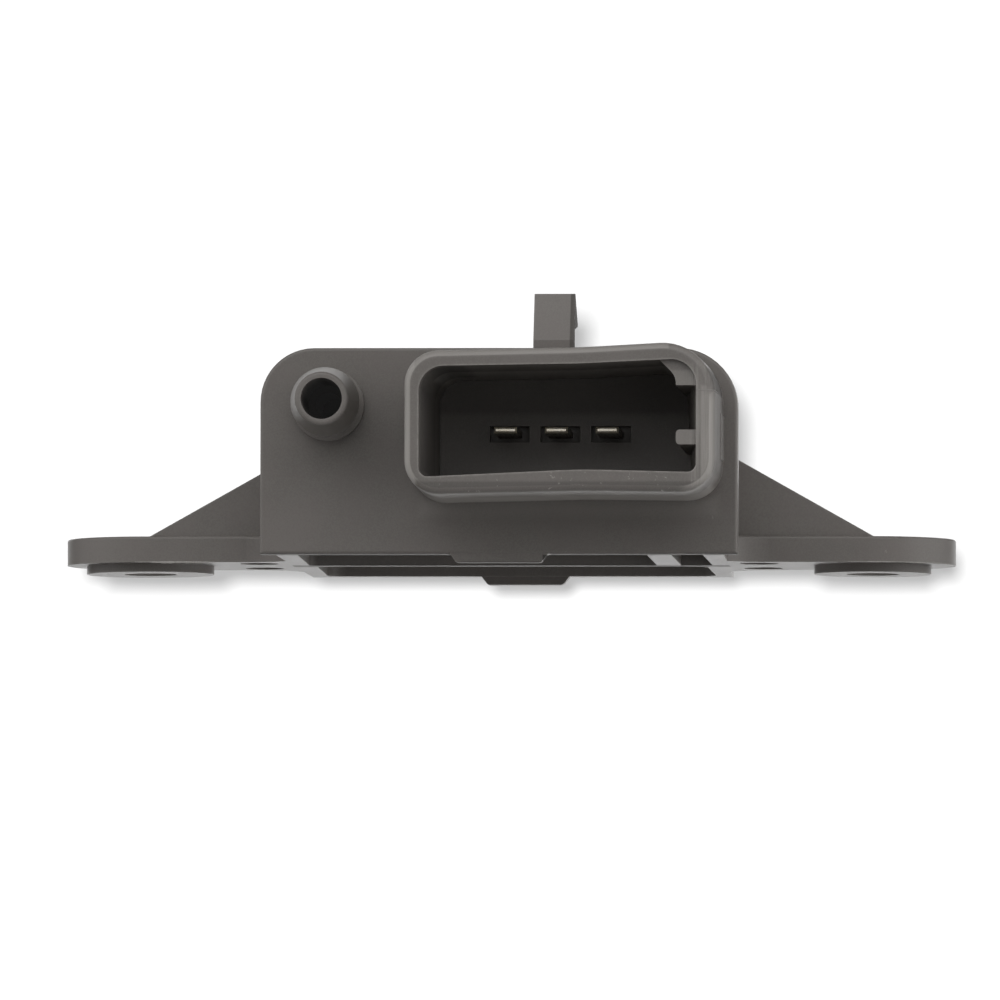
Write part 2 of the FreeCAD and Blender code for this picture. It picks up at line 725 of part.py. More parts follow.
def add_nipple(body):
    """Turn the barbed nipple and bore the passage from its tip to the pressure cell."""
    profile = new_sketch(body, "NippleProfile", "XY", "nipple_z", shift="nipple_position")
    tip = "front_y - nipple_length"
    barb = tip + " + barb_length"
    collar = "front_y - collar_length"
    draw_outline(profile, [
        ("0", tip),
        ("nipple_tip_diameter / 2", tip, "nipple_tip_radius"),
        ("barb_diameter / 2", barb),
        ("barb_diameter / 2", barb + " + barb_land"),
        ("stem_diameter / 2", barb + " + barb_land"),
        ("stem_diameter / 2", collar),
        ("collar_diameter / 2", collar + " + (collar_diameter - stem_diameter) / 4"),
        ("collar_diameter / 2", "front_y + embed"),
        ("0", "front_y + embed"),
    ])
    turned = body.newObject("PartDesign::Revolution", "Nipple")
    turned.Profile = profile
    turned.ReferenceAxis = (profile, ["V_Axis"])
    turned.Angle = 360
    doc.recompute()
    boss = new_sketch(body, "PortBossOutline", "XY", "port_bottom")
    draw_circle(boss, "nipple_position", "port_y", "port_boss_diameter / 2")
    grow(body, "PortBoss", boss, "ceiling - port_bottom + embed")
    duct = new_sketch(body, "DuctOutline", "XY", "nipple_z - passage_diameter / 2 - passage_wall")
    half = "passage_diameter / 2 + passage_wall"
    draw_outline(duct, box_corners("nipple_position - (%s)" % half, "plate_back - embed",
                                   "nipple_position + " + half, "port_y"))
    grow(body, "Duct", duct, "ceiling - nipple_z + %s + embed" % half)
    bore = new_sketch(body, "BoreProfile", "XY", "nipple_z", shift="nipple_position")
    draw_outline(bore, [
        ("0", tip + " - embed"),
        ("nipple_bore / 2", tip + " - embed"),
        ("nipple_bore / 2", "front_y"),
        ("passage_diameter / 2", "front_y + (nipple_bore - passage_diameter) / 2"),
        ("passage_diameter / 2", "port_y"),
        ("0", "port_y"),
    ])
    before = volume(body)
    groove = body.newObject("PartDesign::Groove", "Bore")
    groove.Profile = bore
    groove.ReferenceAxis = (bore, ["V_Axis"])
    groove.Angle = 360
    if volume(body) >= before - TOLERANCE:
        raise RuntimeError("the nipple's bore cuts nothing")
    riser = new_sketch(body, "RiserOutline", "XY", "port_bottom")
    draw_circle(riser, "nipple_position", "port_y", "port_tube_diameter / 2 + riser_gap")
    cut(body, "Riser", riser, "nipple_z - port_bottom")
    seat = new_sketch(body, "SealSeatOutline", "XY", "port_bottom")
    draw_circle(seat, "nipple_position", "port_y", "seal_seat_diameter / 2")
    cut(body, "SealSeat", seat, "seal_seat_depth")


def add_board_seats(body):
    """Add the three columns that carry the board, and the stakes that hold it on two of them."""
    half = "column_size / 2"
    columns = new_sketch(body, "ColumnOutline", "XY", "board_top")
    places = [("column_left", "column_back"), ("column_right", "column_back"),
              ("front_column_position", "column_front")]
    for x_text, y_text in places:
        draw_outline(columns, box_corners(
            "%s - %s" % (x_text, half), "%s - %s" % (y_text, half),
            "%s + %s" % (x_text, half), "%s + %s" % (y_text, half)))
    grow(body, "Columns", columns, "ceiling - board_top + embed")
    layers = {"Stakes": ("board_z - embed", "stake_diameter", "board_thickness + 2 * embed"),
              "StakeHeads": ("board_z - stake_head_height", "stake_head_diameter", "stake_head_height")}
    for name, (place, diameter, height) in layers.items():
        circles = new_sketch(body, name + "Outline", "XY", place)
        for x_text, y_text in places[:2]:
            draw_circle(circles, x_text, y_text, diameter + " / 2")
        grow(body, name, circles, height)


def terminal_x(index):
    """Return where terminal 0, 1 or 2 stands, with terminal 1 in the middle."""
    return "terminal_position + %d * terminal_pitch" % (index - 1)


def add_terminal_slots(body):
    """Cut the recess round each blade and the slot in which the blade is moulded."""
    recesses = new_sketch(body, "RecessesOutline", "XZ", "cavity_back")
    slots = new_sketch(body, "SlotsOutline", "XZ", "cavity_back")
    for index in range(3):
        place = terminal_x(index)
        for sketch, width, height in ((recesses, "recess_width / 2", "recess_height / 2"),
                                      (slots, "terminal_width / 2 + mould_clearance",
                                       "terminal_thickness / 2 + mould_clearance")):
            draw_outline(sketch, box_corners(
                "%s - (%s)" % (place, width), "terminal_z - (%s)" % height,
                "%s + %s" % (place, width), "terminal_z + " + height))
    cut(body, "Recesses", recesses, "recess_depth", forward=False)
    cut(body, "Slots", slots, "connector_back_wall + embed", forward=False)


def make_housing():
    """Make the moulded housing as one solid."""
    body = new_body("housing")
    add_shell(body)
    add_ears(body)
    add_tabs(body)
    add_chambers(body)
    add_connector(body)
    add_latch(body)
    add_nipple(body)
    add_board_seats(body)
    add_terminal_slots(body)
    return body


def make_terminal(index):
    """Make one stamped blade: straight through the wall, bent down and narrowed to its tail."""
    body = new_body("terminal_%d" % (index + 1))
    left = terminal_x(index) + " - terminal_width / 2"
    profile = new_sketch(body, "Profile%d" % index, "YZ", left)
    low, high = "terminal_z - terminal_thickness / 2", "terminal_z + terminal_thickness / 2"
    inner, outer = "terminal_drop", "terminal_drop + terminal_thickness"
    draw_outline(profile, [
        ("terminal_tip", low),
        (inner, low, "terminal_bend_radius"),
        (inner, "tail_bottom"),
        (outer, "tail_bottom"),
        (outer, high, "terminal_bend_radius + terminal_thickness"),
        ("terminal_tip", high),
    ])
    blade = grow(body, "Blade%d" % index, profile, "terminal_width")
    tip = edges_at(blade, lambda point: near(point.y, "terminal_tip"))
    dress(body, "Chamfer", "Tip%d" % index, blade, tip, Size="terminal_tip_chamfer")
    shoulders = new_sketch(body, "Shoulders%d" % index, "XZ", inner + " - embed")
    place = terminal_x(index)
    for sign in ("-", "+"):
        draw_outline(shoulders, [
            ("%s %s terminal_tail_width / 2" % (place, sign), "tail_bottom - embed"),
            ("%s %s (terminal_width / 2 + embed)" % (place, sign), "tail_bottom - embed"),
            ("%s %s (terminal_width / 2 + embed)" % (place, sign), "board_top + terminal_shoulder"),
            ("%s %s terminal_tail_width / 2" % (place, sign), "board_top + terminal_shoulder"),
        ])
    cut(body, "Tail%d" % index, shoulders, "terminal_thickness + 2 * embed", forward=False)
    return body


def make_chamber_cover():
    """Make the plate that closes the chamber, with rounded corners."""
    body = new_body("chamber_cover")
    outline = new_sketch(body, "CoverOutline", "XY", "cover_z")
    draw_outline(outline, box_corners(
        "-inner_half + cover_gap", "plate_back + cover_gap", "partition_position - cover_gap",
        "chamber_back - cover_gap", "cover_ledge"))
    grow(body, "Cover", outline, "cover_thickness")
    return body


def make_cover_sealant():
    """Make the bead on the cover's edge, along the walls of its recess."""
    body = new_body("cover_sealant")
    outer = new_sketch(body, "SealantOuter", "XY", "cover_z - sealant_height")
    draw_outline(outer, box_corners("-inner_half", "plate_back", "partition_position", "chamber_back",
                                    "cover_ledge"))
    grow(body, "Bead", outer, "sealant_height")
    inner = new_sketch(body, "SealantInner", "XY", "cover_z - sealant_height")
    draw_outline(inner, box_corners(
        "-inner_half + sealant_width", "plate_back + sealant_width",
        "partition_position - sealant_width", "chamber_back - sealant_width", "sealant_height"))
    cut(body, "BeadInside", inner, "sealant_height")
    return body


def make_circuit_board():
    """Make the board with its holes for the stakes and the terminals' tails."""
    body = new_body("circuit_board")
    outline = new_sketch(body, "BoardOutline", "XY", "board_z")
    draw_outline(outline, box_corners("board_left", "board_front", "board_right", "board_back",
                                      "column_size / 2"))
    grow(body, "Board", outline, "board_thickness")
    holes = new_sketch(body, "BoardHoles", "XY", "board_z")
    for x_text in ("column_left", "column_right"):
        draw_circle(holes, x_text, "column_back", "stake_diameter / 2 + board_hole_gap")
    for index in range(3):
        place = terminal_x(index)
        reach = "(terminal_tail_width / 2 + board_hole_gap)"
        draw_outline(holes, box_corners(
            "%s - %s" % (place, reach), "terminal_drop - board_hole_gap",
            "%s + %s" % (place, reach), "terminal_drop + terminal_thickness + board_hole_gap"))
    cut(body, "Holes", holes, "board_thickness")
    return body


def centred_box(body, name, x_text, y_text, z_text, width, depth, height):
    """Pad a box that stands centred on a point."""
    sketch = new_sketch(body, name + "Outline", "XY", z_text)
    draw_outline(sketch, box_corners(
        "%s - (%s) / 2" % (x_text, width), "%s - (%s) / 2" % (y_text, depth),
        "%s + (%s) / 2" % (x_text, width), "%s + (%s) / 2" % (y_text, depth)))
    return grow(body, name, sketch, height)


def centred_pocket(body, name, x_text, y_text, z_text, width, depth, height):
    """Cut a box upwards from a point at the middle of its floor."""
    sketch = new_sketch(body, name + "Outline", "XY", z_text)
    draw_outline(sketch, box_corners(
        "%s - (%s) / 2" % (x_text, width), "%s - (%s) / 2" % (y_text, depth),
        "%s + (%s) / 2" % (x_text, width), "%s + (%s) / 2" % (y_text, depth)))
    return cut(body, name, sketch, height)


def make_cell_body():
    """Make the open tub of the pressure cell."""
    body = new_body("cell_body")
    tub = centred_box(body, "Tub", "cell_x", "port_y", "board_top", "cell_width", "cell_width",
                      "cell_height")
    edges = edges_at(tub, lambda point: True)
    upright = [each for each in edges if tub.Shape.getElement(each).tangentAt(0).z ** 2 > 0.5]
    dress(body, "Fillet", "TubCorners", tub, upright, Radius="cell_wall / 2")
    centred_pocket(body, "TubInside", "cell_x", "port_y", "board_top + cell_floor",
                   "cell_width - 2 * cell_wall", "cell_width - 2 * cell_wall", "cell_height - cell_floor")
    return body


def make_sensing_die():
    """Make the chip, with the shallow recess over its membrane."""
    body = new_body("sensing_die")
    floor = "board_top + cell_floor"
    centred_box(body, "Chip", "cell_x", "port_y", floor, "die_width", "die_width", "die_height")
    centred_pocket(body, "Membrane", "cell_x", "port_y", floor + " + die_height - membrane_depth",
                   "die_width / 2", "die_width / 2", "membrane_depth")
    return body


def make_cell_gel():
    """Make the gel that fills the tub round the chip and over it."""
    body = new_body("cell_gel")
    floor = "board_top + cell_floor"
    inside = "cell_width - 2 * cell_wall"
    centred_box(body, "Fill", "cell_x", "port_y", floor, inside, inside, "gel_height")
    centred_pocket(body, "Around", "cell_x", "port_y", floor, "die_width", "die_width", "die_height")
    centred_box(body, "Over", "cell_x", "port_y", floor + " + die_height - membrane_depth",
                "die_width / 2", "die_width / 2", "membrane_depth + embed")
    return body


def make_cell_cap():
    """Make the cell's lid with its port tube, which stands under the riser of the passage."""
    body = new_body("cell_cap")
    lid = centred_box(body, "Lid", "cell_x", "port_y", "cell_top", "cell_width", "cell_width",
                      "cap_thickness")
    edges = edges_at(lid, lambda point: near(point.z, "cap_top"))
    dress(body, "Chamfer", "LidEdge", lid, edges, Size="cap_thickness / 4")
    tube = new_sketch(body, "TubeOutline", "XY", "cell_top + cap_thickness / 2")
    draw_circle(tube, "nipple_position", "port_y", "port_tube_diameter / 2")
    grow(body, "Tube", tube, "cap_thickness / 2 + port_tube_height")
    bore = new_sketch(body, "TubeBoreOutline", "XY", "cell_top")
    draw_circle(bore, "nipple_position", "port_y", "port_tube_bore / 2")
    cut(body, "TubeBore", bore, "cap_thickness + port_tube_height")
    return body


def lead_profile(sketch, sign, base, edge, top):
    """Draw a lead that leaves a package sideways, steps down and ends in a foot on the board."""
    def out(text):
        return "%s %s (%s)" % (base, sign, text)
    draw_outline(sketch, [
        (out(edge), top + " - lead_thickness"),
        (out(edge + " + lead_reach - lead_foot - lead_thickness"), top + " - lead_thickness"),
        (out(edge + " + lead_reach - lead_foot - lead_thickness"), "board_top"),
        (out(edge + " + lead_reach"), "board_top"),
        (out(edge + " + lead_reach"), "board_top + lead_thickness"),
        (out(edge + " + lead_reach - lead_foot"), "board_top + lead_thickness"),
        (out(edge + " + lead_reach - lead_foot"), top),
        (out(edge), top),
    ])


def make_cell_lead(index):
    """Make one of the cell's four leads: two to the front and two to the rear."""
    body = new_body("cell_lead_%d" % (index + 1))
    side = "+" if index % 2 else "-"
    row = "-" if index < 2 else "+"
    left = "cell_x %s lead_pitch / 2 - lead_width / 2" % side
    profile = new_sketch(body, "LeadProfile%d" % index, "YZ", left)
    lead_profile(profile, row, "port_y", "cell_width / 2", "board_top + cell_height / 2")
    grow(body, "Lead%d" % index, profile, "lead_width")
    return body


def make_port_seal():
    """Make the ring round the cell's port tube, in its seat in the boss."""
    ring = doc.addObject("Part::Torus", "port_seal")
    ring.Label = "port_seal"
    section = "seal_section / 2"
    middle = "(seal_seat_diameter + port_tube_diameter) / 4"
    bind(ring, Radius1=middle, Radius2=section)
    ring.setExpression("Placement.Base.x", spelled("nipple_position"))
    ring.setExpression("Placement.Base.y", spelled("port_y"))
    ring.setExpression("Placement.Base.z", spelled("seal_z"))
    return ring


def make_signal_chip():
    """Make the amplifier chip: its package and four leads on each side, as one soldered piece."""
    body = new_body("signal_chip")
    lower = "board_top + chip_standoff"
    package = centred_box(body, "Package", "chip_position", "component_y", lower, "chip_length",
                          "chip_width", "chip_height")
    edges = edges_at(package, lambda point: near(point.z, lower + " + chip_height"))
    dress(body, "Chamfer", "PackageEdge", package, edges, Size="chip_height / 6")
    for row, sign in enumerate("-+"):
        for index in range(4):
            place = "chip_position + (%s) * chip_lead_pitch - chip_lead_width / 2" % (index - 1.5)
            profile = new_sketch(body, "ChipLead%d%d" % (row, index), "YZ", place)
            lead_profile(profile, sign, "component_y", "chip_width / 2 - embed",
                         lower + " + chip_height / 2")
            grow(body, "ChipLeadPad%d%d" % (row, index), profile, "chip_lead_width")
    return body


def make_block(name, x_text, y_text, length, width, height):
    """Make a small component that lies on the board, with its upper edges broken."""
    body = new_body(name)
    block = centred_box(body, "Block_" + name, x_text, y_text, "board_top", length, width, height)
    edges = edges_at(block, lambda point: near(point.z, "board_top + " + height))
    dress(body, "Chamfer", "Edges_" + name, block, edges, Size=height + " / 8")
    return body


def make_solder_joint(index):
    """Make the joint under the board round a terminal's tail."""
    name = "solder_joint_%d" % (index + 1)
    place = terminal_x(index)
    cone = doc.addObject("Part::Cone", name + "_cone")
    bind(cone, Radius1="solder_tip_diameter / 2", Radius2="solder_diameter / 2", Height="solder_height")
    tail = doc.addObject("Part::Box", name + "_tail")
    bind(tail, Length="terminal_tail_width", Width="terminal_thickness", Height="solder_height")
    low = "board_z - solder_height"
    middle = "terminal_drop + terminal_thickness / 2"
    corners = {cone: (place, middle, low),
               tail: (place + " - terminal_tail_width / 2", "terminal_drop", low)}
    for solid, texts in corners.items():
        for axis, text in zip("xyz", texts):
            solid.setExpression("Placement.Base." + axis, spelled(text))
    joint = doc.addObject("Part::Cut", name)
    joint.Base = cone
    joint.Tool = tail
    joint.Label = name
    return joint


def make_pieces():
    """Make every sub-part in the order in which the sensor is put together."""
    pieces = [make_housing()]
    pieces += [make_terminal(index) for index in range(3)]
    pieces += [make_circuit_board(), make_cell_body(), make_sensing_die(), make_cell_gel(),
               make_cell_cap()]
    pieces += [make_cell_lead(index) for index in range(4)]
    pieces += [make_port_seal(), make_signal_chip()]
    for index in range(3):
        pieces.append(make_block("capacitor_%d" % (index + 1), terminal_x(index), "capacitor_y",
                                 "capacitor_length", "capacitor_width", "capacitor_height"))
    for index in range(2):
        place = "resistor_position + %d * resistor_pitch" % index
        pieces.append(make_block("resistor_%d" % (index + 1), place, "component_y",
                                 "resistor_length", "resistor_width", "resistor_height"))
    pieces += [make_solder_joint(index) for index in range(3)]
    pieces += [make_chamber_cover(), make_cover_sealant()]
    return pieces


def check(pieces):
    """Stop if any object failed to build, or if a sub-part isn't one valid solid."""
    for thing in doc.Objects:
        if "Invalid" in thing.State or "Error" in thing.State:
            raise RuntimeError("%s failed: %s" % (thing.Name, thing.State))
    for piece in pieces:
        shape = piece.Shape
        if shape.isNull() or not shape.isValid() or len(shape.Solids) != 1:
            raise RuntimeError("%s isn't one valid solid" % piece.Label)


doc = FreeCAD.newDocument("pressure_sensor")
fill_sheet()
PIECES = make_pieces()
doc.recompute()
check(PIECES)
os.makedirs("parts", exist_ok=True)
for item in PIECES:
    item.Shape.exportStep("parts/%s.step" % item.Label)
    print("%-18s %9.2f mm3" % (item.Label, item.Shape.Volume))
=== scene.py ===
"""Looks of a manifold absolute pressure sensor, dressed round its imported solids.

The sensor is one dark grey moulding with a barbed hose nipple, a shrouded three-blade
connector, a latch nose and two ears. Its board and pressure cell are sealed inside.
Lengths are in metres, in the part's own frame: +X along the two screw holes, -Y towards the
connector and the nipple, +Z up, away from what the sensor is screwed to.
"""

import logging
import math
import random
from dataclasses import dataclass, field
from enum import Enum
from typing import Any, Callable

import bpy
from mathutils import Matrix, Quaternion, Vector


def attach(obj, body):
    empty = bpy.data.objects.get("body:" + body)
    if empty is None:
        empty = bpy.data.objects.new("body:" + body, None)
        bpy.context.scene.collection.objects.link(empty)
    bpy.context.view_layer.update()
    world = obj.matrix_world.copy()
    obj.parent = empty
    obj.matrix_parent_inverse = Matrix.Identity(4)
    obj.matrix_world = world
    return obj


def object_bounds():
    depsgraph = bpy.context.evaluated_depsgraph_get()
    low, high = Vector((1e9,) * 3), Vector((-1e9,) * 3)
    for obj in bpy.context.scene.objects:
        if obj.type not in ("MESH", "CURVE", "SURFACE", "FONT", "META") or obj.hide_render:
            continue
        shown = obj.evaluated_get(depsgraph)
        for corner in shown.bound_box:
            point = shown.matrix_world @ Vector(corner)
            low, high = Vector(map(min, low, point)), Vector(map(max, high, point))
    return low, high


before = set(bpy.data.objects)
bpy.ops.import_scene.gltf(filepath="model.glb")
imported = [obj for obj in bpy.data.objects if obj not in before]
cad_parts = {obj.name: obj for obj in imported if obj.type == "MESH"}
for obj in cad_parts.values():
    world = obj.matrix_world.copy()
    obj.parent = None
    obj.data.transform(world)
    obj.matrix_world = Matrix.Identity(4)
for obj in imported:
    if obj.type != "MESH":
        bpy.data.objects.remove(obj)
CAD_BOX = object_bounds()

LOG = logging.getLogger("sensor")
MM = 0.001
ROOT = "root"

Colour = tuple[float, float, float, float]
Point = tuple[float, float, float]
Socket = bpy.types.NodeSocket
Sockets = bpy.types.bpy_prop_collection

BLACK: Colour = (0.0, 0.0, 0.0, 1.0)
WHITE: Colour = (1.0, 1.0, 1.0, 1.0)


class Effect(Enum):
    """The effects that more than one finish uses, each a shader node group."""

    GRAIN = "moulded_grain"
    MOTTLE = "tone_mottle"
    EDGE = "edge_wear_and_highlight"
    SPECKS = "pale_specks"
    STREAKS = "draw_streaks"
    REGION = "soft_region"
    LEAN = "front_lean"


# What the ambient occlusion inside a piece is at a flat face and at a sharp edge.
FLAT_INSIDE, EDGE_INSIDE = 0.95, 0.55
# How far a speck reaches in its cell, for the share of cells that have one, and where it is full.
SPECK_REACH, SPECK_FULL = 0.28, 0.02
# How straight a face looks to the front where it starts to count as flat, and where it fully does.
FLAT_STARTS, FLAT_FULL = 0.97, 0.999
# The same for a rounded face, towards the flat front and towards the side.
ROUND_ENDS, ROUND_FULL, SIDE_STARTS, SIDE_FULL = 0.999, 0.96, 0.08, 0.35


class Graph:
    """Adds and joins the nodes of one material or one group."""

    def __init__(self, tree: bpy.types.NodeTree) -> None:
        """Work on a tree.

        Args:
            tree: The node tree of a material or a group.
        """
        self.tree = tree

    def node(self, kind: str, inputs: dict[Any, Any] | None = None, **settings: Any) -> bpy.types.Node:
        """Add a node and feed its inputs.

        Args:
            kind: The node's type in Blender.
            inputs: A value or a socket for each named input.
            settings: The node's own properties.

        Returns:
            The new node.
        """
        made = self.tree.nodes.new(kind)
        for name, value in settings.items():
            setattr(made, name, value)
        for name, value in (inputs or {}).items():
            self.feed(made.inputs[name], value)
        return made

    def feed(self, target: Socket, value: Any) -> None:
        """Link a socket to an input, or set the input's own value.

        Args:
            target: The input.
            value: A socket, a number, a vector or a colour.
        """
        if isinstance(value, bpy.types.NodeSocket):
            self.tree.links.new(value, target)
        else:
            target.default_value = value

    def maths(self, operation: str, first: Any, second: Any = 0.0, clamp: bool = False) -> Socket:
        """Work out one number from two.

        Args:
            operation: The Math node's operation.
            first: The first number or socket.
            second: The second number or socket.
            clamp: Whether the result is kept between 0 and 1.

        Returns:
            The result's socket.
        """
        return self.node("ShaderNodeMath", {0: first, 1: second}, operation=operation,
                         use_clamp=clamp).outputs[0]

    def times(self, first: Any, second: Any) -> Socket:
        """Return the product of two numbers or sockets."""
        return self.maths("MULTIPLY", first, second)

    def vector(self, operation: str, first: Any, second: Any) -> bpy.types.Node:
        """Work out a vector or a number from two vectors.

        Args:
            operation: The Vector Math node's operation.
            first: The first vector or socket.
            second: The second vector or socket.

        Returns:
            The Vector Math node.
        """
        return self.node("ShaderNodeVectorMath", {0: first, 1: second}, operation=operation)

    def noise(self, vector: Socket, scale: Any, detail: float = 3.0, rough: float = 0.5) -> Socket:
        """Add a noise.

        Args:
            vector: The place, in millimetres.
            scale: The noise's scale, a number or a socket.
            detail: The number of finer layers.
            rough: The share that each finer layer keeps.

        Returns:
            The noise's value.
        """
        return self.node("ShaderNodeTexNoise", {"Vector": vector, "Scale": scale, "Detail": detail,
                                                "Roughness": rough}).outputs["Fac"]

    def step(self, value: Socket, low: Any, high: Any, low_to: Any = 0.0, high_to: Any = 1.0) -> Socket:
        """Turn a value into a smooth step.

        Args:
            value: The value.
            low: Where the step starts.
            high: Where the step ends.
            low_to: The result below the start.
            high_to: The result above the end.

        Returns:
            The stepped value.
        """
        return self.node("ShaderNodeMapRange", {
            "Value": value, "From Min": low, "From Max": high, "To Min": low_to,
            "To Max": high_to}, interpolation_type="SMOOTHSTEP").outputs["Result"]

    def blend(self, share: Any, first: Any, second: Any) -> Socket:
        """Blend two colours.

        Args:
            share: How much of the second colour shows.
            first: The first colour.
            second: The second colour.

        Returns:
            The blended colour.
        """
        mix = self.node("ShaderNodeMix", data_type="RGBA")
        for socket in mix.inputs:
            if socket.enabled and socket.name == "Factor":
                self.feed(socket, share)
            elif socket.enabled and socket.name in "AB":
                self.feed(socket, first if socket.name == "A" else second)
        return next(socket for socket in mix.outputs if socket.enabled)

    def skin(self, shader: bpy.types.Node, colour: Socket, rough: Socket, **bump: Any) -> None:
        """Feed a shader's colour, roughness and bumped normal.

        Args:
            shader: The Principled shader.
            colour: Its base colour.
            rough: Its roughness.
            bump: The Bump node's inputs, by name.
        """
        bumped = self.node("ShaderNodeBump", bump).outputs["Normal"]
        for name, value in (("Base Color", colour), ("Roughness", rough), ("Normal", bumped)):
            self.feed(shader.inputs[name], value)

    def millimetres(self) -> Socket:
        """Return the place on the object, in millimetres in the part's own frame."""
        place = self.node("ShaderNodeTexCoord").outputs["Object"]
        return self.vector("MULTIPLY", place, (1 / MM,) * 3).outputs[0]

    def effect(self, name: Effect, **inputs: Any) -> Sockets:
        """Place a shared effect.

        Args:
            name: Which effect.
            inputs: A value or a socket for each of the group's inputs.

        Returns:
            The group's outputs.
        """
        placed = self.node("ShaderNodeGroup", node_tree=EFFECTS.group(name))
        for key, value in inputs.items():
            self.feed(placed.inputs[key], value)
        return placed.outputs


@dataclass
class EffectLibrary:
    """Builds each shared effect once. The effects' places and sizes are in millimetres.

    Attributes:
        built: The groups that are there already.
    """

    built: dict[Effect, bpy.types.NodeTree] = field(default_factory=dict)

    def group(self, name: Effect) -> bpy.types.NodeTree:
        """Return a group, and build it the first time.

        Args:
            name: Which effect.

        Returns:
            The effect's node tree.
        """
        if name not in self.built:
            makers: dict[Effect, Callable[[], bpy.types.NodeTree]] = {
                Effect.GRAIN: self.make_grain, Effect.MOTTLE: self.make_mottle,
                Effect.EDGE: self.make_edge, Effect.SPECKS: self.make_specks,
                Effect.STREAKS: self.make_streaks, Effect.REGION: self.make_region,
                Effect.LEAN: self.make_lean}
            self.built[name] = makers[name]()
        return self.built[name]

    def start(self, name: Effect, inputs: dict[str, Any],
              outputs: tuple[str, ...]) -> tuple[Graph, Sockets, Sockets]:
        """Start a group with its inputs and outputs.

        Args:
            name: Which effect.
            inputs: The default of each named input: a number, or a vector as a tuple.
            outputs: The names of the outputs, which are numbers apart from a normal.

        Returns:
            The group's graph, the sockets that it is given and those that it fills.
        """
        tree = bpy.data.node_groups.new(name.value, "ShaderNodeTree")
        for title, default in inputs.items():
            kind = "NodeSocketVector" if isinstance(default, tuple) else "NodeSocketFloat"
            socket = tree.interface.new_socket(name=title, in_out="INPUT", socket_type=kind)
            socket.default_value = default
        for title in outputs:
            kind = "NodeSocketVector" if title == "Normal" else "NodeSocketFloat"
            tree.interface.new_socket(name=title, in_out="OUTPUT", socket_type=kind)
        graph = Graph(tree)
        return graph, graph.node("NodeGroupInput").outputs, graph.node("NodeGroupOutput").inputs

    def make_grain(self) -> bpy.types.NodeTree:
        """Make the fine spark-eroded grain of a moulding.

        Returns:
            A group that gives a height and a small change of gloss.
        """
        graph, given, result = self.start(
            Effect.GRAIN, {"Vector": (0.0, 0.0, 0.0), "Size": 0.15, "Waviness": 0.4},
            ("Height", "Gloss"))
        scale = graph.maths("DIVIDE", 1.0, given["Size"])
        fine = graph.noise(given["Vector"], scale, 4.0, 0.6)
        pits = graph.node("ShaderNodeTexVoronoi", {
            "Vector": given["Vector"], "Scale": scale}).outputs["Distance"]
        wave = graph.noise(given["Vector"], 0.35, 2.0)
        bumps = graph.maths("ADD", fine, graph.times(pits, 0.5))
        waves = graph.times(wave, given["Waviness"])
        graph.feed(result["Height"], graph.maths("ADD", bumps, waves))
        graph.feed(result["Gloss"], graph.step(fine, 0.3, 0.7, -1.0, 1.0))
        return graph.tree

    def make_mottle(self) -> bpy.types.NodeTree:
        """Make the cloudy tone of a filled plastic.

        Returns:
            A group that gives a tone and a tint, each from 0 to 1.
        """
        graph, given, result = self.start(
            Effect.MOTTLE, {"Vector": (0.0, 0.0, 0.0), "Size": 3.0},
            ("Tone", "Tint"))
        scale = graph.maths("DIVIDE", 1.0, given["Size"])
        cloud = graph.noise(given["Vector"], scale, 3.0, 0.45)
        broad = graph.noise(given["Vector"], graph.times(scale, 0.3), 1.0)
        both = graph.times(graph.maths("ADD", cloud, broad), 0.5)
        graph.feed(result["Tone"], graph.step(both, 0.32, 0.68))
        moved = graph.vector("ADD", given["Vector"], (31.0, 17.0, 5.0)).outputs[0]
        tint = graph.noise(moved, graph.times(scale, 0.8), 2.0)
        graph.feed(result["Tint"], graph.step(tint, 0.38, 0.62))
        return graph.tree

    def make_edge(self) -> bpy.types.NodeTree:
        """Make the small radius that every moulded or stamped edge has, and the mask that its wear and,
        on the plastics, a painted highlight follow.

        Returns:
            A group that gives the rounded normal and a mask along the outer edges.
        """
        graph, given, result = self.start(
            Effect.EDGE, {"Vector": (0.0, 0.0, 0.0), "Radius": 0.15, "Reach": 0.28},
            ("Mask", "Normal"))
        metres = graph.times(given["Radius"], MM)
        rounded = graph.node("ShaderNodeBevel", {"Radius": metres}, samples=6)
        inside = graph.node("ShaderNodeAmbientOcclusion", {
            "Distance": graph.times(given["Reach"], MM)},
            inside=True, only_local=True, samples=8)
        edge = graph.step(inside.outputs["AO"], FLAT_INSIDE, EDGE_INSIDE)
        broken = graph.step(graph.noise(given["Vector"], 1.6, 5.0, 0.7), 0.3, 0.62, 0.35, 1.0)
        graph.feed(result["Mask"], graph.maths("MULTIPLY", edge, broken, True))
        graph.feed(result["Normal"], rounded.outputs["Normal"])
        return graph.tree

    def make_specks(self) -> bpy.types.NodeTree:
        """Make sparse pale specks of dust and small nicks.

        Returns:
            A group that gives a mask.
        """
        graph, given, result = self.start(
            Effect.SPECKS, {"Vector": (0.0, 0.0, 0.0), "Spacing": 1.6, "Share": 0.5}, ("Mask",))
        scale = graph.maths("DIVIDE", 1.0, given["Spacing"])
        bent = graph.vector("ADD", given["Vector"], graph.node("ShaderNodeTexNoise", {
            "Vector": given["Vector"], "Scale": 3.0}).outputs["Color"]).outputs[0]
        cells = graph.node("ShaderNodeTexVoronoi", {"Vector": bent, "Scale": scale})
        reach = graph.times(SPECK_REACH, given["Share"])
        spot = graph.step(cells.outputs["Distance"], reach, SPECK_FULL)
        chosen = graph.node("ShaderNodeSeparateColor", {"Color": cells.outputs["Color"]}).outputs[0]
        kept = graph.maths("LESS_THAN", chosen, given["Share"])
        graph.feed(result["Mask"], graph.maths("MULTIPLY", spot, kept, True))
        return graph.tree

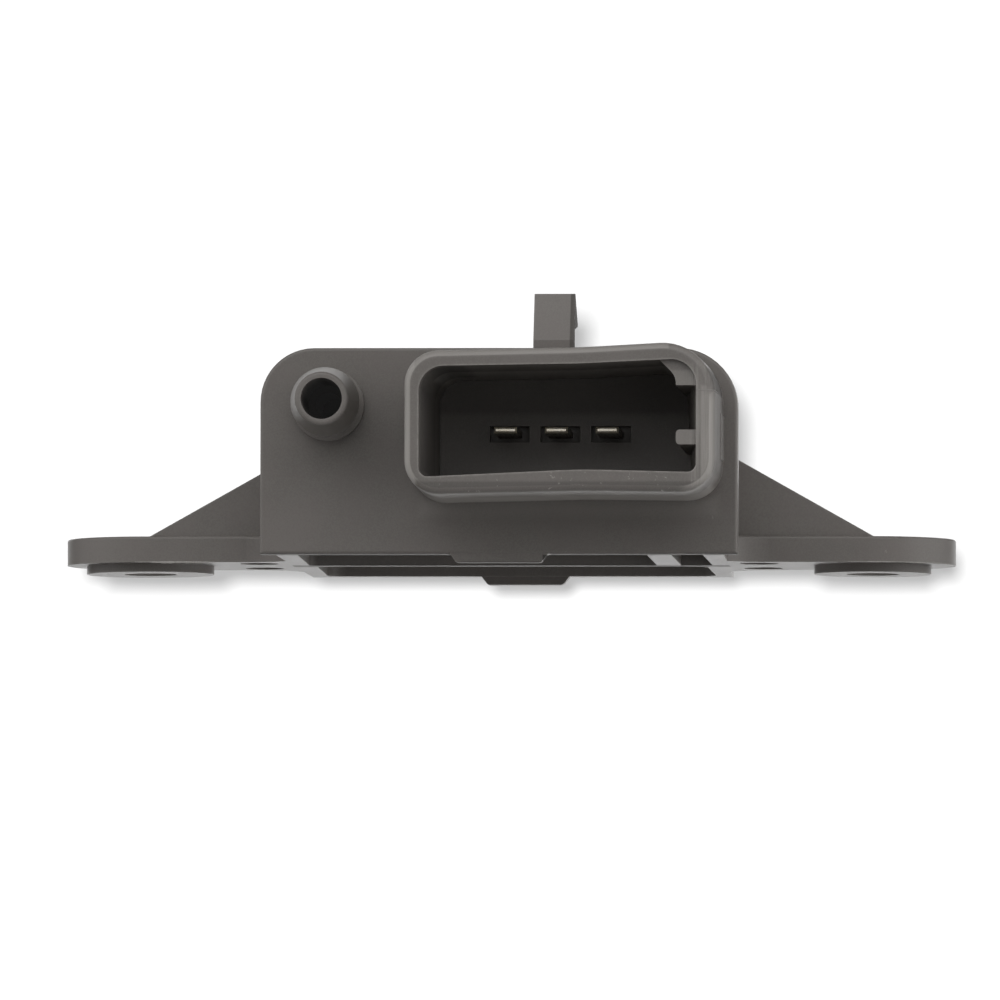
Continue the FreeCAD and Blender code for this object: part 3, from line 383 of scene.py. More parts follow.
    def make_streaks(self) -> bpy.types.NodeTree:
        """Make fine lines along one direction, as a mould's steel or a stamp leaves them.

        Returns:
            A group that gives a value from 0 to 1.
        """
        graph, given, result = self.start(
            Effect.STREAKS, {"Vector": (0.0, 0.0, 0.0), "Squeeze": (4.0, 4.0, 0.12)}, ("Value",))
        squeezed = graph.vector("MULTIPLY", given["Vector"], given["Squeeze"])
        lines = graph.noise(squeezed.outputs[0], 1.0, 4.0, 0.65)
        graph.feed(result["Value"], graph.step(lines, 0.35, 0.65))
        return graph.tree

    def make_region(self) -> bpy.types.NodeTree:
        """Make a box-shaped patch with soft borders, for what keeps to one spot.

        Returns:
            A group that gives a mask, 1 inside the patch and 0 outside it.
        """
        graph, given, result = self.start(
            Effect.REGION, {"Vector": (0.0, 0.0, 0.0), "Middle": (0.0, 0.0, 0.0),
                            "Half": (1.0, 1.0, 1.0), "Soft": 0.5}, ("Mask",))
        away = graph.vector("SUBTRACT", given["Vector"], given["Middle"]).outputs[0]
        apart = graph.vector("ABSOLUTE", away, (0.0, 0.0, 0.0)).outputs[0]
        over = graph.vector("SUBTRACT", apart, given["Half"]).outputs[0]
        sides = graph.node("ShaderNodeSeparateXYZ", {0: over}).outputs
        most = graph.maths("MAXIMUM", graph.maths("MAXIMUM", sides[0], sides[1]), sides[2])
        share = graph.maths("DIVIDE", most, given["Soft"])
        graph.feed(result["Mask"], graph.step(share, 0.0, -1.0))
        return graph.tree

    def make_lean(self) -> bpy.types.NodeTree:
        """Tell the faces that look straight to the front from those that are rounded over.

        Returns:
            A group that gives a mask of the flat front faces and one of the rounded faces.
        """
        graph, _, result = self.start(Effect.LEAN, {}, ("Flat", "Round"))
        normal = graph.node("ShaderNodeTexCoord").outputs["Normal"]
        front = graph.vector("DOT_PRODUCT", normal, (0.0, -1.0, 0.0)).outputs["Value"]
        graph.feed(result["Flat"], graph.step(front, FLAT_STARTS, FLAT_FULL))
        rounded = graph.step(front, ROUND_ENDS, ROUND_FULL)
        turned = graph.step(front, SIDE_STARTS, SIDE_FULL)
        graph.feed(result["Round"], graph.times(rounded, turned))
        return graph.tree


EFFECTS = EffectLibrary()


class Facing(Enum):
    """Which faces of a place a patch keeps to."""

    ANY = ""
    FLAT = "Flat"
    ROUND = "Round"


@dataclass(frozen=True)
class Patch:
    """A place on the moulding that looks a little different.

    Attributes:
        middle: The patch's middle, in millimetres.
        half: Its half lengths, in millimetres.
        soft: The width of its soft border, in millimetres.
        share: How strongly it shows.
        facing: The faces that it keeps to.
    """

    middle: Point
    half: Point
    soft: float = 1.0
    share: float = 1.0
    facing: Facing = Facing.ANY


Patches = tuple[Patch, ...]


@dataclass(frozen=True)
class MouldedPlastic:
    """A filled engineering plastic as it leaves the mould, lightly handled.

    Attributes:
        name: The material's name.
        dark: The tone of the darker clouds.
        light: The tone of the lighter clouds.
        tint: The warm tint that part of the surface takes.
        worn: The pale colour of the rubbed edges, the mould's lines and the specks, which also serves for
            the painted highlight and the painted light.
        roughness: How matt it is.
        grain: The grain's size, in millimetres.
        depth: The grain's depth, in millimetres.
        edge_radius: The edges' radius, in millimetres.
        edge_share: How strongly the edges show, partly as wear and partly as painted highlight.
        cloud_size: The clouds' size, in millimetres.
        grain_tone: How much the grain changes the tone.
        tint_share: How strongly the warm tint shows.
        line_share: How strongly the mould's lines show.
        speck_share: How strongly the specks show.
        stray_share: How strongly the stray specks show beside the gathered ones.
        rough_change: How much the roughness changes over the surface.
        shade_matt: How much more matt a place of painted shade is.
        scuffs: Where pale specks gather.
        draws: Where the mould's lines show.
        edge_highlights: Where the edges get a stronger painted highlight.
        painted_lights: Where painted light makes the whole surface paler.
        painted_shades: Where painted shade darkens it.
        painted_glows: The deep holes that get a faint painted glow, standing in for the flare that a lens
            lays over black.
    """

    name: str
    dark: Colour
    light: Colour
    tint: Colour
    worn: Colour
    roughness: float = 0.5
    grain: float = 0.16
    depth: float = 0.004
    edge_radius: float = 0.07
    edge_share: float = 0.12
    cloud_size: float = 2.6
    grain_tone: float = 1.1
    tint_share: float = 0.35
    line_share: float = 0.3
    speck_share: float = 0.75
    stray_share: float = 0.35
    rough_change: float = 0.02
    shade_matt: float = 0.8
    scuffs: Patches = ()
    draws: Patches = ()
    edge_highlights: Patches = ()
    painted_lights: Patches = ()
    painted_shades: Patches = ()
    painted_glows: Patches = ()

    def patches(self, graph: Graph, place: Socket, spots: Patches) -> Any:
        """Return one mask for several patches.

        Args:
            graph: The material's graph.
            place: The place, in millimetres.
            spots: The patches.

        Returns:
            The mask, or 0 if there are none.
        """
        mask: Any = 0.0
        for spot in spots:
            here = graph.effect(Effect.REGION, Vector=place, Middle=spot.middle, Half=spot.half,
                                Soft=spot.soft)
            shown = graph.times(here["Mask"], spot.share)
            if spot.facing is not Facing.ANY:
                lean = graph.effect(Effect.LEAN)
                shown = graph.times(shown, lean[spot.facing.value])
            mask = graph.maths("MAXIMUM", shown, mask)
        return mask

    def build(self) -> bpy.types.Material:
        """Build the material.

        Returns:
            The moulded plastic.
        """
        material, graph, shader = new_material(self.name)
        place = graph.millimetres()
        mottle = graph.effect(Effect.MOTTLE, Vector=place, Size=self.cloud_size)
        grain = graph.effect(Effect.GRAIN, Vector=place, Size=self.grain)
        speckle = graph.times(grain["Gloss"], self.grain_tone)
        tone = graph.maths("ADD", mottle["Tone"], speckle, True)
        colour = graph.blend(tone, self.dark, self.light)
        tinted = graph.times(mottle["Tint"], self.tint_share)
        colour = graph.blend(tinted, colour, self.tint)
        # The edge mask paints real wear together with a painted highlight; the edge-highlight patches
        # strengthen it on the rim, and the painted-light patches make whole places paler.
        edge = graph.effect(Effect.EDGE, Vector=place, Radius=self.edge_radius)
        share = graph.maths("MAXIMUM", self.patches(graph, place, self.edge_highlights), self.edge_share)
        rubbed = graph.times(edge["Mask"], share)
        rubbed = graph.maths("MAXIMUM", rubbed, self.patches(graph, place, self.painted_lights))
        colour = graph.blend(rubbed, colour, self.worn)
        streaks = graph.effect(Effect.STREAKS, Vector=place)
        lines = graph.times(streaks["Value"], self.patches(graph, place, self.draws))
        colour = graph.blend(graph.times(lines, self.line_share), colour, self.worn)
        sparse = graph.effect(Effect.SPECKS, Vector=place, Spacing=2.4, Share=0.22)
        dense = graph.effect(Effect.SPECKS, Vector=place, Spacing=0.7, Share=0.75)
        gathered = graph.times(dense["Mask"], self.patches(graph, place, self.scuffs))
        stray = graph.times(sparse["Mask"], self.stray_share)
        specks = graph.maths("MAXIMUM", stray, gathered)
        colour = graph.blend(graph.times(specks, self.speck_share), colour, self.worn)
        # Painted shade: the listed places are darkened towards black.
        painted_shade = self.patches(graph, place, self.painted_shades)
        colour = graph.blend(painted_shade, colour, BLACK)
        uneven = graph.maths("ADD", grain["Gloss"], mottle["Tone"])
        rough = graph.maths("ADD", graph.times(uneven, self.rough_change), self.roughness)
        rough = graph.maths("ADD", rough, graph.times(painted_shade, self.shade_matt), True)
        graph.skin(shader, colour, rough, Height=grain["Height"], Normal=edge["Normal"],
                   Strength=0.35, Distance=self.depth * MM)
        # Painted glow: a faint emission in the deep bore, standing in for a lens's flare over black.
        if self.painted_glows:
            material.cycles.emission_sampling = "NONE"
            shader.inputs["Emission Strength"].default_value = 1.0
            painted_glow = graph.blend(self.patches(graph, place, self.painted_glows), BLACK, WHITE)
            graph.feed(shader.inputs["Emission Color"], painted_glow)
        return material


@dataclass(frozen=True)
class PlatedMetal:
    """A stamped or soldered metal with a thin, slightly worn plating.

    Attributes:
        name: The material's name.
        plate: The plating's colour.
        base: The metal that shows where the plating is rubbed.
        roughness: How matt it is.
        squeeze: How the stamping lines are drawn out along each axis.
        edge_radius: The edges' radius, in millimetres.
        painted_shade_from: The place along Y behind which painted shade darkens the metal, in
            millimetres, if it does.
        painted_shade_share: How dark the painted shade is there.
        rub_share: How strongly the rubbed edges show.
        tint_share: How strongly the clouds of the base metal show.
        line_rough: How much more matt the stamping lines are.
        line_depth: Their depth, in millimetres.
    """

    name: str
    plate: Colour
    base: Colour
    roughness: float = 0.3
    squeeze: Point = (5.0, 0.2, 5.0)
    edge_radius: float = 0.05
    painted_shade_from: float | None = None
    painted_shade_share: float = 0.72
    rub_share: float = 0.6
    tint_share: float = 0.18
    line_rough: float = 0.14
    line_depth: float = 0.004

    def build(self) -> bpy.types.Material:
        """Build the material.

        Returns:
            The plated metal.
        """
        material, graph, shader = new_material(self.name)
        place = graph.millimetres()
        edge = graph.effect(Effect.EDGE, Vector=place, Radius=self.edge_radius, Reach=0.15)
        streaks = graph.effect(Effect.STREAKS, Vector=place, Squeeze=self.squeeze)
        mottle = graph.effect(Effect.MOTTLE, Vector=place, Size=0.5)
        rubbed = graph.times(edge["Mask"], mottle["Tone"])
        colour = graph.blend(graph.times(rubbed, self.rub_share), self.plate, self.base)
        tinted = graph.times(mottle["Tint"], self.tint_share)
        colour = graph.blend(tinted, colour, self.base)
        # Painted shade: behind its front end the blade is darkened towards black, where it sits deep in
        # the recess.
        if self.painted_shade_from is not None:
            along = graph.node("ShaderNodeSeparateXYZ", {0: place}).outputs[1]
            painted_blade_shade = graph.step(along, self.painted_shade_from, self.painted_shade_from + 0.3, 0.0, self.painted_shade_share)
            colour = graph.blend(painted_blade_shade, colour, BLACK)
        lines = graph.times(streaks["Value"], self.line_rough)
        rough = graph.maths("ADD", lines, self.roughness)
        graph.skin(shader, colour, rough, Height=streaks["Value"], Normal=edge["Normal"],
                   Strength=0.3, Distance=self.line_depth * MM)
        shader.inputs["Metallic"].default_value = 1.0
        return material


@dataclass(frozen=True)
class CuredCompound:
    """A soft or fired compound: silicone, rubber, gel or ceramic.

    Attributes:
        name: The material's name.
        tone: Its colour.
        cloud: The colour of its clouds.
        roughness: How matt it is.
        grain: The grain's size, in millimetres.
        depth: The grain's depth, in millimetres.
        coat: The weight of its glossy skin.
        cloud_size: The clouds' size, in millimetres.
    """

    name: str
    tone: Colour
    cloud: Colour
    roughness: float = 0.5
    grain: float = 0.3
    depth: float = 0.01
    coat: float = 0.0
    cloud_size: float = 1.2

    def build(self) -> bpy.types.Material:
        """Build the material.

        Returns:
            The compound.
        """
        material, graph, shader = new_material(self.name)
        place = graph.millimetres()
        mottle = graph.effect(Effect.MOTTLE, Vector=place, Size=self.cloud_size)
        colour = graph.blend(mottle["Tone"], self.tone, self.cloud)
        grain = graph.effect(Effect.GRAIN, Vector=place, Size=self.grain, Waviness=1.2)
        edge = graph.effect(Effect.EDGE, Vector=place, Radius=0.08)
        rough = graph.maths("ADD", graph.times(mottle["Tint"], 0.1), self.roughness)
        graph.skin(shader, colour, rough, Height=grain["Height"], Normal=edge["Normal"],
                   Strength=0.4, Distance=self.depth * MM)
        shader.inputs["Coat Weight"].default_value = self.coat
        return material


@dataclass(frozen=True)
class BoardLaminate:
    """Glass laminate under a green mask, with the copper's tracks raised below it.

    Attributes:
        name: The material's name.
        mask: The mask's colour over bare laminate.
        track: The mask's colour over copper.
        pitch: The tracks' pitch, in millimetres.
        depth: How high the tracks stand, in millimetres.
        smooth: The roughness between the threads of the weave.
        matt: The roughness over them.
    """

    name: str
    mask: Colour
    track: Colour
    pitch: float = 1.27
    depth: float = 0.03
    smooth: float = 0.28
    matt: float = 0.4

    def build(self) -> bpy.types.Material:
        """Build the material.

        Returns:
            The laminate.
        """
        material, graph, shader = new_material(self.name)
        place = graph.millimetres()
        cells = graph.node("ShaderNodeTexVoronoi", {
            "Vector": place, "Scale": 1 / self.pitch, "Randomness": 0.35},
            feature="DISTANCE_TO_EDGE").outputs["Distance"]
        copper = graph.step(cells, 0.12, 0.16)
        weave = graph.node("ShaderNodeTexWave", {
            "Vector": place, "Scale": 1.1, "Distortion": 0.3}).outputs["Fac"]
        colour = graph.blend(copper, self.mask, self.track)
        height = graph.maths("ADD", copper, graph.times(weave, 0.3))
        rough = graph.step(weave, 0.0, 1.0, self.smooth, self.matt)
        graph.skin(shader, colour, rough, Height=height, Strength=0.5, Distance=self.depth * MM)
        return material


def new_material(name: str) -> tuple[bpy.types.Material, Graph, bpy.types.Node]:
    """Start a material that has only its Principled shader and its output.

    Args:
        name: The material's name.

    Returns:
        The material, its graph and its shader.
    """
    material = bpy.data.materials.new(name)
    material.use_nodes = True
    graph = Graph(material.node_tree)
    return material, graph, material.node_tree.nodes["Principled BSDF"]


# A painted glow in the nipple's deep bore, standing in for the flare that a lens lays over black.
BORE_PAINTED_GLOW = (Patch((-17.05, -17.0, 15.72), (2.2, 20.9, 2.2), 0.3, 0.0065),)
# Pale specks gather under the shroud, at its lower right corner and along its lower lip.
SHROUD_SCUFFS = (
    Patch((15.0, -37.0, 6.6), (11.0, 9.0, 2.6), 2.0), Patch((22.0, -40.0, 8.5), (2.0, 3.0, 3.4), 1.0),
    Patch((4.0, -41.0, 6.6), (10.0, 3.0, 1.6), 1.5))
# The mould's lines show on the shroud's right rim.
RIM_DRAWS = (Patch((21.6, -41.0, 12.0), (2.6, 4.0, 7.5), 1.5),)
# A stronger painted highlight, together with the edges' wear, along the edges of the shroud's lip.
RIM_EDGE_HIGHLIGHTS = (Patch((6.5, -41.5, 12.5), (16.5, 0.6, 10.0), 0.3, 0.40),)
# Painted highlight on the rim's outer rounding: the top, the upper right corner, the right, the left and
# the bottom.
RIM_PAINTED_HIGHLIGHTS = (
    Patch((4.0, -41.1, 16.2), (14.0, 0.75, 9.0), 0.4, 0.37, Facing.ROUND),
    Patch((21.0, -41.1, 18.0), (3.4, 0.75, 3.4), 0.6, 0.15, Facing.ROUND),
    Patch((22.6, -41.1, 11.4), (4.2, 4.0, 6.0), 2.4, 0.60, Facing.ROUND),
    Patch((-8.2, -41.1, 13.0), (1.0, 0.75, 7.0), 0.5, 0.55, Facing.ROUND),
    Patch((7.0, -40.85, 5.7), (16.0, 0.3, 1.5), 0.1, 0.30, Facing.ROUND))
# Painted light lifts the shade on the shroud's underside, front and back, and on the plate just below it.
UNDERSIDE_PAINTED_LIGHT = (
    Patch((7.0, -37.0, 6.0), (17.0, 4.0, 1.1), 0.6, 0.35),
    Patch((7.0, -29.3, 6.0), (15.5, 4.2, 1.6), 0.6, 0.52),
    Patch((7.0, -25.0, 5.6), (15.5, 2.0, 1.5), 1.3, 0.12, Facing.FLAT))
# Painted light also on the keys' fronts, the right rim's flat face and the cavity's ceiling at its deep
# end.
CAVITY_PAINTED_LIGHT = (
    Patch((19.3, -35.5, 13.0), (1.7, 6.0, 5.5), 0.3, 0.18, Facing.FLAT),
    Patch((21.4, -41.5, 12.0), (0.6, 0.4, 5.0), 0.4, 0.25, Facing.FLAT),
    Patch((6.0, -27.0, 18.9), (14.0, 5.9, 1.4), 0.5, 0.5))
# Painted shade darkens the lower rim's flat face, the cavity's left wall, upper left corner, upper lip
# and the upper part of its back wall.
CAVITY_PAINTED_SHADE = (
    Patch((7.0, -41.5, 6.68), (14.5, 0.4, 0.75), 0.35, 0.3, Facing.FLAT),
    Patch((-7.0, -33.0, 12.5), (1.6, 8.0, 8.0), 3.0, 0.60),
    Patch((-4.2, -33.0, 18.2), (2.6, 8.0, 2.4), 1.5, 0.45),
    Patch((0.5, -40.6, 19.2), (7.0, 0.9, 0.9), 0.4, 0.25),
    Patch((6.5, -21.0, 18.5), (14.0, 0.8, 4.0), 1.5, 0.38))
# Painted shade also darkens the latch nose's right side and the shroud's right flank, low and high.
FLANK_PAINTED_SHADE = (
    Patch((8.5, -34.0, 24.0), (1.0, 9.0, 3.2), 0.1, 0.42),
    Patch((22.5, -33.5, 10.5), (0.6, 8.0, 6.0), 0.4, 0.28),
    Patch((22.3, -33.5, 18.0), (1.2, 8.2, 2.2), 0.8, 0.50))
# Painted shade also dims the plate's lower edge beside the tab, the tab's own lower edge and right end,
# and the middle wall's lower edge.
PLATE_PAINTED_SHADE = (
    Patch((-14.9, -23.6, 0.7), (10.0, 1.35, 0.35), 0.05, 0.25),
    Patch((15.1, -23.6, 0.7), (10.0, 1.35, 0.35), 0.05, 0.25),
    Patch((0.0, -24.0, 0.0), (4.5, 1.3, 0.15), 0.05, 0.25),
    Patch((5.1, -23.8, 0.35), (0.75, 1.5, 0.45), 0.1, 0.6),
    Patch((0.0, 0.0, 0.7), (22.0, 1.8, 0.35), 0.1, 0.2))

HOUSING_PLASTIC = MouldedPlastic(
    "housing_plastic",
    dark=(0.134, 0.123, 0.113, 1), light=(0.150, 0.139, 0.128, 1), tint=(0.149, 0.132, 0.124, 1),
    worn=(0.42, 0.40, 0.375, 1), roughness=0.46, scuffs=SHROUD_SCUFFS, draws=RIM_DRAWS, edge_highlights=RIM_EDGE_HIGHLIGHTS,
    painted_lights=RIM_PAINTED_HIGHLIGHTS + UNDERSIDE_PAINTED_LIGHT + CAVITY_PAINTED_LIGHT,
    painted_shades=CAVITY_PAINTED_SHADE + FLANK_PAINTED_SHADE + PLATE_PAINTED_SHADE, painted_glows=BORE_PAINTED_GLOW)
COVER_PLASTIC = MouldedPlastic(
    "cover_plastic",
    dark=(0.082, 0.077, 0.072, 1), light=(0.092, 0.087, 0.081, 1), tint=(0.088, 0.082, 0.078, 1),
    worn=(0.20, 0.19, 0.18, 1), roughness=0.55, grain=0.25, depth=0.008)
CELL_PLASTIC = MouldedPlastic(
    "cell_plastic",
    dark=(0.034, 0.034, 0.035, 1), light=(0.042, 0.042, 0.043, 1), tint=(0.040, 0.039, 0.040, 1),
    worn=(0.12, 0.12, 0.12, 1), roughness=0.42, grain=0.1, edge_radius=0.05, painted_glows=BORE_PAINTED_GLOW)
FLASH_PLASTIC = MouldedPlastic(
    "flash_plastic",
    dark=(0.22, 0.21, 0.195, 1), light=(0.32, 0.31, 0.29, 1), tint=(0.27, 0.25, 0.24, 1),
    worn=(0.42, 0.40, 0.38, 1), roughness=0.5, grain=0.1, edge_radius=0.02)
TERMINAL_METAL = PlatedMetal(
    "terminal_metal", plate=(0.93, 0.88, 0.76, 1), base=(0.62, 0.50, 0.26, 1), roughness=0.34, painted_shade_from=-29.15)
TINNED_LEAD = PlatedMetal(
    "tinned_lead", plate=(0.72, 0.72, 0.70, 1), base=(0.52, 0.50, 0.46, 1), roughness=0.28)
SILICON = PlatedMetal(
    "silicon", plate=(0.20, 0.21, 0.25, 1), base=(0.28, 0.29, 0.34, 1), roughness=0.12,
    squeeze=(0.8, 0.8, 0.8), edge_radius=0.02)
SEALANT = CuredCompound(
    "sealant", tone=(0.022, 0.022, 0.023, 1), cloud=(0.030, 0.030, 0.031, 1), roughness=0.38,
    grain=0.8, depth=0.05, coat=0.2)
GEL = CuredCompound(
    "gel", tone=(0.62, 0.65, 0.65, 1), cloud=(0.70, 0.72, 0.71, 1), roughness=0.12, grain=2.0,
    depth=0.03, coat=0.6)
SEAL_RUBBER = CuredCompound(
    "seal_rubber", tone=(0.018, 0.018, 0.018, 1), cloud=(0.026, 0.026, 0.026, 1), roughness=0.55,
    grain=0.12, depth=0.006)
CERAMIC = CuredCompound(
    "ceramic", tone=(0.50, 0.37, 0.24, 1), cloud=(0.56, 0.43, 0.30, 1), roughness=0.45, grain=0.15)
RESISTOR_CERAMIC = CuredCompound(
    "resistor_ceramic", tone=(0.030, 0.030, 0.034, 1), cloud=(0.045, 0.045, 0.05, 1),
    roughness=0.25, grain=0.1, depth=0.004, coat=0.3)
LAMINATE = BoardLaminate(
    "board_laminate", mask=(0.018, 0.11, 0.045, 1), track=(0.03, 0.20, 0.075, 1))


def node_finishes() -> dict[str, Any]:
    """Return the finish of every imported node."""
    finishes: dict[str, Any] = {
        "housing": HOUSING_PLASTIC, "chamber_cover": COVER_PLASTIC, "cover_sealant": SEALANT,
        "circuit_board": LAMINATE, "cell_body": CELL_PLASTIC, "cell_cap": CELL_PLASTIC,
        "sensing_die": SILICON, "cell_gel": GEL, "port_seal": SEAL_RUBBER,
        "signal_chip": CELL_PLASTIC}
    for stem, count, finish in (("terminal", 3, TERMINAL_METAL), ("cell_lead", 4, TINNED_LEAD),
                                ("solder_joint", 3, TINNED_LEAD), ("capacitor", 3, CERAMIC),
                                ("resistor", 2, RESISTOR_CERAMIC)):
        for index in range(count):
            finishes["%s_%d" % (stem, index + 1)] = finish
    return finishes


@dataclass
class Wardrobe:
    """Builds each finish once and dresses pieces in it.

    Attributes:
        made: The materials that are there already, by name.
    """

    made: dict[str, bpy.types.Material] = field(default_factory=dict)

    def material(self, finish: Any) -> bpy.types.Material:
        """Return a finish's material, and build it the first time.

        Args:
            finish: One of the finishes.

        Returns:
            Its material.
        """
        if finish.name not in self.made:
            self.made[finish.name] = finish.build()
        return self.made[finish.name]

    def dress(self, piece: bpy.types.Object, finish: Any) -> None:
        """Put a finish on a piece.

        Args:
            piece: The object.
            finish: One of the finishes.
        """
        piece.data.materials.clear()
        piece.data.materials.append(self.material(finish))
        LOG.info("%s: %s", piece.name, finish.name)


WARDROBE = Wardrobe()


def new_piece(name: str, points: list[Vector], faces: list[tuple[int, ...]]) -> bpy.types.Object:
    """Make a mesh object with flat shading.

    Args:
        name: The piece's name.
        points: Its corners, in metres.
        faces: Its faces, as indices of the corners.

    Returns:
        The object, linked to the scene.
    """
    mesh = bpy.data.meshes.new(name)
    mesh.from_pydata([tuple(point) for point in points], [], faces)
    mesh.update()
    piece = bpy.data.objects.new(name, mesh)
    bpy.context.scene.collection.objects.link(piece)
    return piece


def sweep(name: str, rings: list[list[Vector]]) -> bpy.types.Object:
    """Join rings of equal length into one closed skin.

    Args:
        name: The piece's name.
        rings: The sections, in order along the piece.

    Returns:
        The object.
    """
    size = len(rings[0])
    points = [point for ring in rings for point in ring]
    faces: list[tuple[int, ...]] = []
    for index in range(len(rings) - 1):
        low, high = index * size, (index + 1) * size
        for step in range(size):
            after = (step + 1) % size
            faces.append((low + step, low + after, high + after, high + step))
    faces.append(tuple(reversed(range(size))))
    faces.append(tuple(range((len(rings) - 1) * size, len(rings) * size)))
    return new_piece(name, points, faces)


@dataclass
class PackedSensor:
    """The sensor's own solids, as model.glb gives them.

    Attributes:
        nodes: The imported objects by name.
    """

    nodes: dict[str, bpy.types.Object] = field(default_factory=dict)

    def dress(self) -> None:
        """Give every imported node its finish."""
        for name, finish in node_finishes().items():
            WARDROBE.dress(self.nodes[name], finish)


@dataclass
class EarFlash:
    """The thin broken flash on the lower front edge of one ear, over its pad.

    Attributes:
        name: The piece's name.
        left: Where it starts, in millimetres along X.
        right: Where it ends.
        drop: How far the flash hangs down at most.
        lip: How far it stands forward at most.
        seed: The seed of its raggedness.
        front: The ear's front edge, in millimetres along Y.
        height: The ear's underside.
        pitch: The distance between its points.
        turn: Where the ear's round end begins, from the middle.
    """

    name: str
    left: float
    right: float
    drop: float = 0.16
    lip: float = 0.10
    seed: int = 3
    front: float = -8.35
    height: float = 0.85
    pitch: float = 0.16
    turn: float = 36.3

    def edge(self, place: float) -> tuple[Vector, Vector]:
        """Follow the ear's outline, straight at first and then around its end.

        Args:
            place: A place along X, in millimetres.

        Returns:
            The outline's point there, and the way out of the ear.
        """
        radius = -self.front
        around = math.copysign(min(max(0.0, abs(place) - self.turn), radius), place)
        out = Vector((around, -math.sqrt(radius ** 2 - around ** 2), 0.0)) / radius
        return Vector((place - around, 0.0, 0.0)) + out * radius, out

    def build(self) -> bpy.types.Object:
        """Build the ragged strip.

        Returns:
            The flash.
        """
        rand = random.Random(self.seed)
        count = int((self.right - self.left) / self.pitch)
        rings: list[list[Vector]] = []
        swell = 0.4
        for index in range(count + 1):
            place = self.left + index * self.pitch
            swell = min(1.0, max(0.05, swell + rand.uniform(-0.38, 0.38)))
            fade = min(1.0, 4.0 * min(index, count - index) / count + 0.1)
            reach = swell * fade
            down = self.drop * reach * rand.uniform(0.6, 1.0)
            out = self.lip * reach * rand.uniform(0.5, 1.0)
            edge, away = self.edge(place)
            rings.append([(edge + away * forward + Vector((0.0, 0.0, self.height + up))) * MM
                          for forward, up in ((-0.05, 0.03), (0.2 * out + 0.004, 0.05 + 0.3 * down),
                                              (out, -0.3 * down), (0.4 * out, -down - 0.01))])
        piece = sweep(self.name, rings)
        WARDROBE.dress(piece, FLASH_PLASTIC)
        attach(piece, ROOT)
        return piece


@dataclass
class CoreSeam:
    """The fine raised line that the mould's parting leaves across the shroud's right rim.

    Attributes:
        cavity_edge: Where it starts on the rim, in millimetres along X.
        outside: The shroud's right side at the rim.
        rim: The rim's place along Y.
        rim_radius: The rim's outer radius.
        height: The line's height above the mounting plane.
        tail: How far it runs back along the shroud.
        draft: How far the side leans out for each millimetre back.
        width: The line's half width.
    """

    cavity_edge: float = 20.65
    outside: float = 22.35
    rim: float = -41.5
    rim_radius: float = 0.75
    height: float = 16.35
    tail: float = 5.0
    draft: float = 0.0044
    width: float = 0.035

    def path(self) -> list[tuple[float, float]]:
        """Return the line's route over the rim, as places along X and Y."""
        middle = (self.outside - self.rim_radius, self.rim + self.rim_radius)
        route = [(self.cavity_edge, self.rim), (middle[0], self.rim)]
        for step in range(1, 7):
            turn = math.radians(15 * step)
            route.append((middle[0] + self.rim_radius * math.sin(turn),
                          middle[1] - self.rim_radius * math.cos(turn)))
        route.append((self.outside + self.draft * self.tail, self.rim + self.tail))
        return route

    def build(self) -> bpy.types.Object:
        """Build the seam.

        Returns:
            The seam.
        """
        route = self.path()
        rings: list[list[Vector]] = []
        for index, (across, along) in enumerate(route):
            before = route[max(index - 1, 0)]
            after = route[min(index + 1, len(route) - 1)]
            run = Vector((after[0] - before[0], after[1] - before[1], 0)).normalized()
            out = Vector((run.y, -run.x, 0))
            middle = Vector((across, along, self.height))
            sink, rise = out * -0.02, out * 0.03
            up = Vector((0, 0, self.width))
            rings.append([(middle + sink + up) * MM, (middle + rise + up * 0.3) * MM,
                          (middle + rise - up * 0.3) * MM, (middle + sink - up) * MM])
        piece = sweep("core_seam", rings)
        WARDROBE.dress(piece, FLASH_PLASTIC)
        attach(piece, ROOT)
        return piece


@dataclass
class SideLand:
    """The thin raised land on the shroud's right side, near the plate.

    Attributes:
        side: The shroud's right side at the plate, in millimetres along X.
        front: The land's front end along Y.
        back: Its end in the plate.
        low: Its lower edge above the mounting plane.
        high: Its upper edge.
        rise: How far it stands out.
        bevel: The width of its sloped border.
    """

    side: float = 22.43
    front: float = -31.0
    back: float = -22.4
    low: float = 9.9
    high: float = 14.7
    rise: float = 0.09
    bevel: float = 0.25

    def build(self) -> bpy.types.Object:
        """Build the land.

        Returns:
            The land.
        """
        rings: list[list[Vector]] = []
        for depth, shrink in ((-0.06, 0.0), (self.rise * 0.5, self.bevel * 0.4), (self.rise, self.bevel)):
            low, high = self.low + shrink, self.high - shrink
            front, out = self.front + shrink, self.side + depth
            rings.append([Vector((out, y, z)) * MM for y, z in (
                (front, low + shrink), (front + shrink, low), (self.back, low),
                (self.back, high), (front + shrink, high), (front, high - shrink))])
        piece = sweep("side_land", rings)
        WARDROBE.dress(piece, HOUSING_PLASTIC)
        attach(piece, ROOT)
        return piece


@dataclass(frozen=True)
class SkyLobe:
    """One soft patch of light in the surround.

    Attributes:
        towards: The direction from the sensor to the patch.
        strength: How bright it is.
        fade: The cosine of the angle at which it ends.
        full: The cosine of the angle inside which it is full.
    """

    towards: Point
    strength: float
    fade: float = 0.75
    full: float = 0.90


SKY = (
    SkyLobe((0.0, -1.0, 0.0), 0.135, 0.80, 0.93), SkyLobe((0.0, -0.7, 0.7), 1.17),
    SkyLobe((-0.7, -0.7, 0.0), 0.14), SkyLobe((0.7, -0.7, 0.0), 0.52),
    SkyLobe((0.0, -0.7, -0.7), 0.14), SkyLobe((-1.0, 0.0, 0.0), 0.78),
    SkyLobe((1.0, 0.0, 0.0), 1.36), SkyLobe((0.0, 0.0, -1.0), 0.50),
    SkyLobe((-0.58, -0.58, 0.58), 0.84), SkyLobe((0.58, -0.58, 0.58), 0.13),
    SkyLobe((0.0, 1.0, 0.0), 1.8),
)


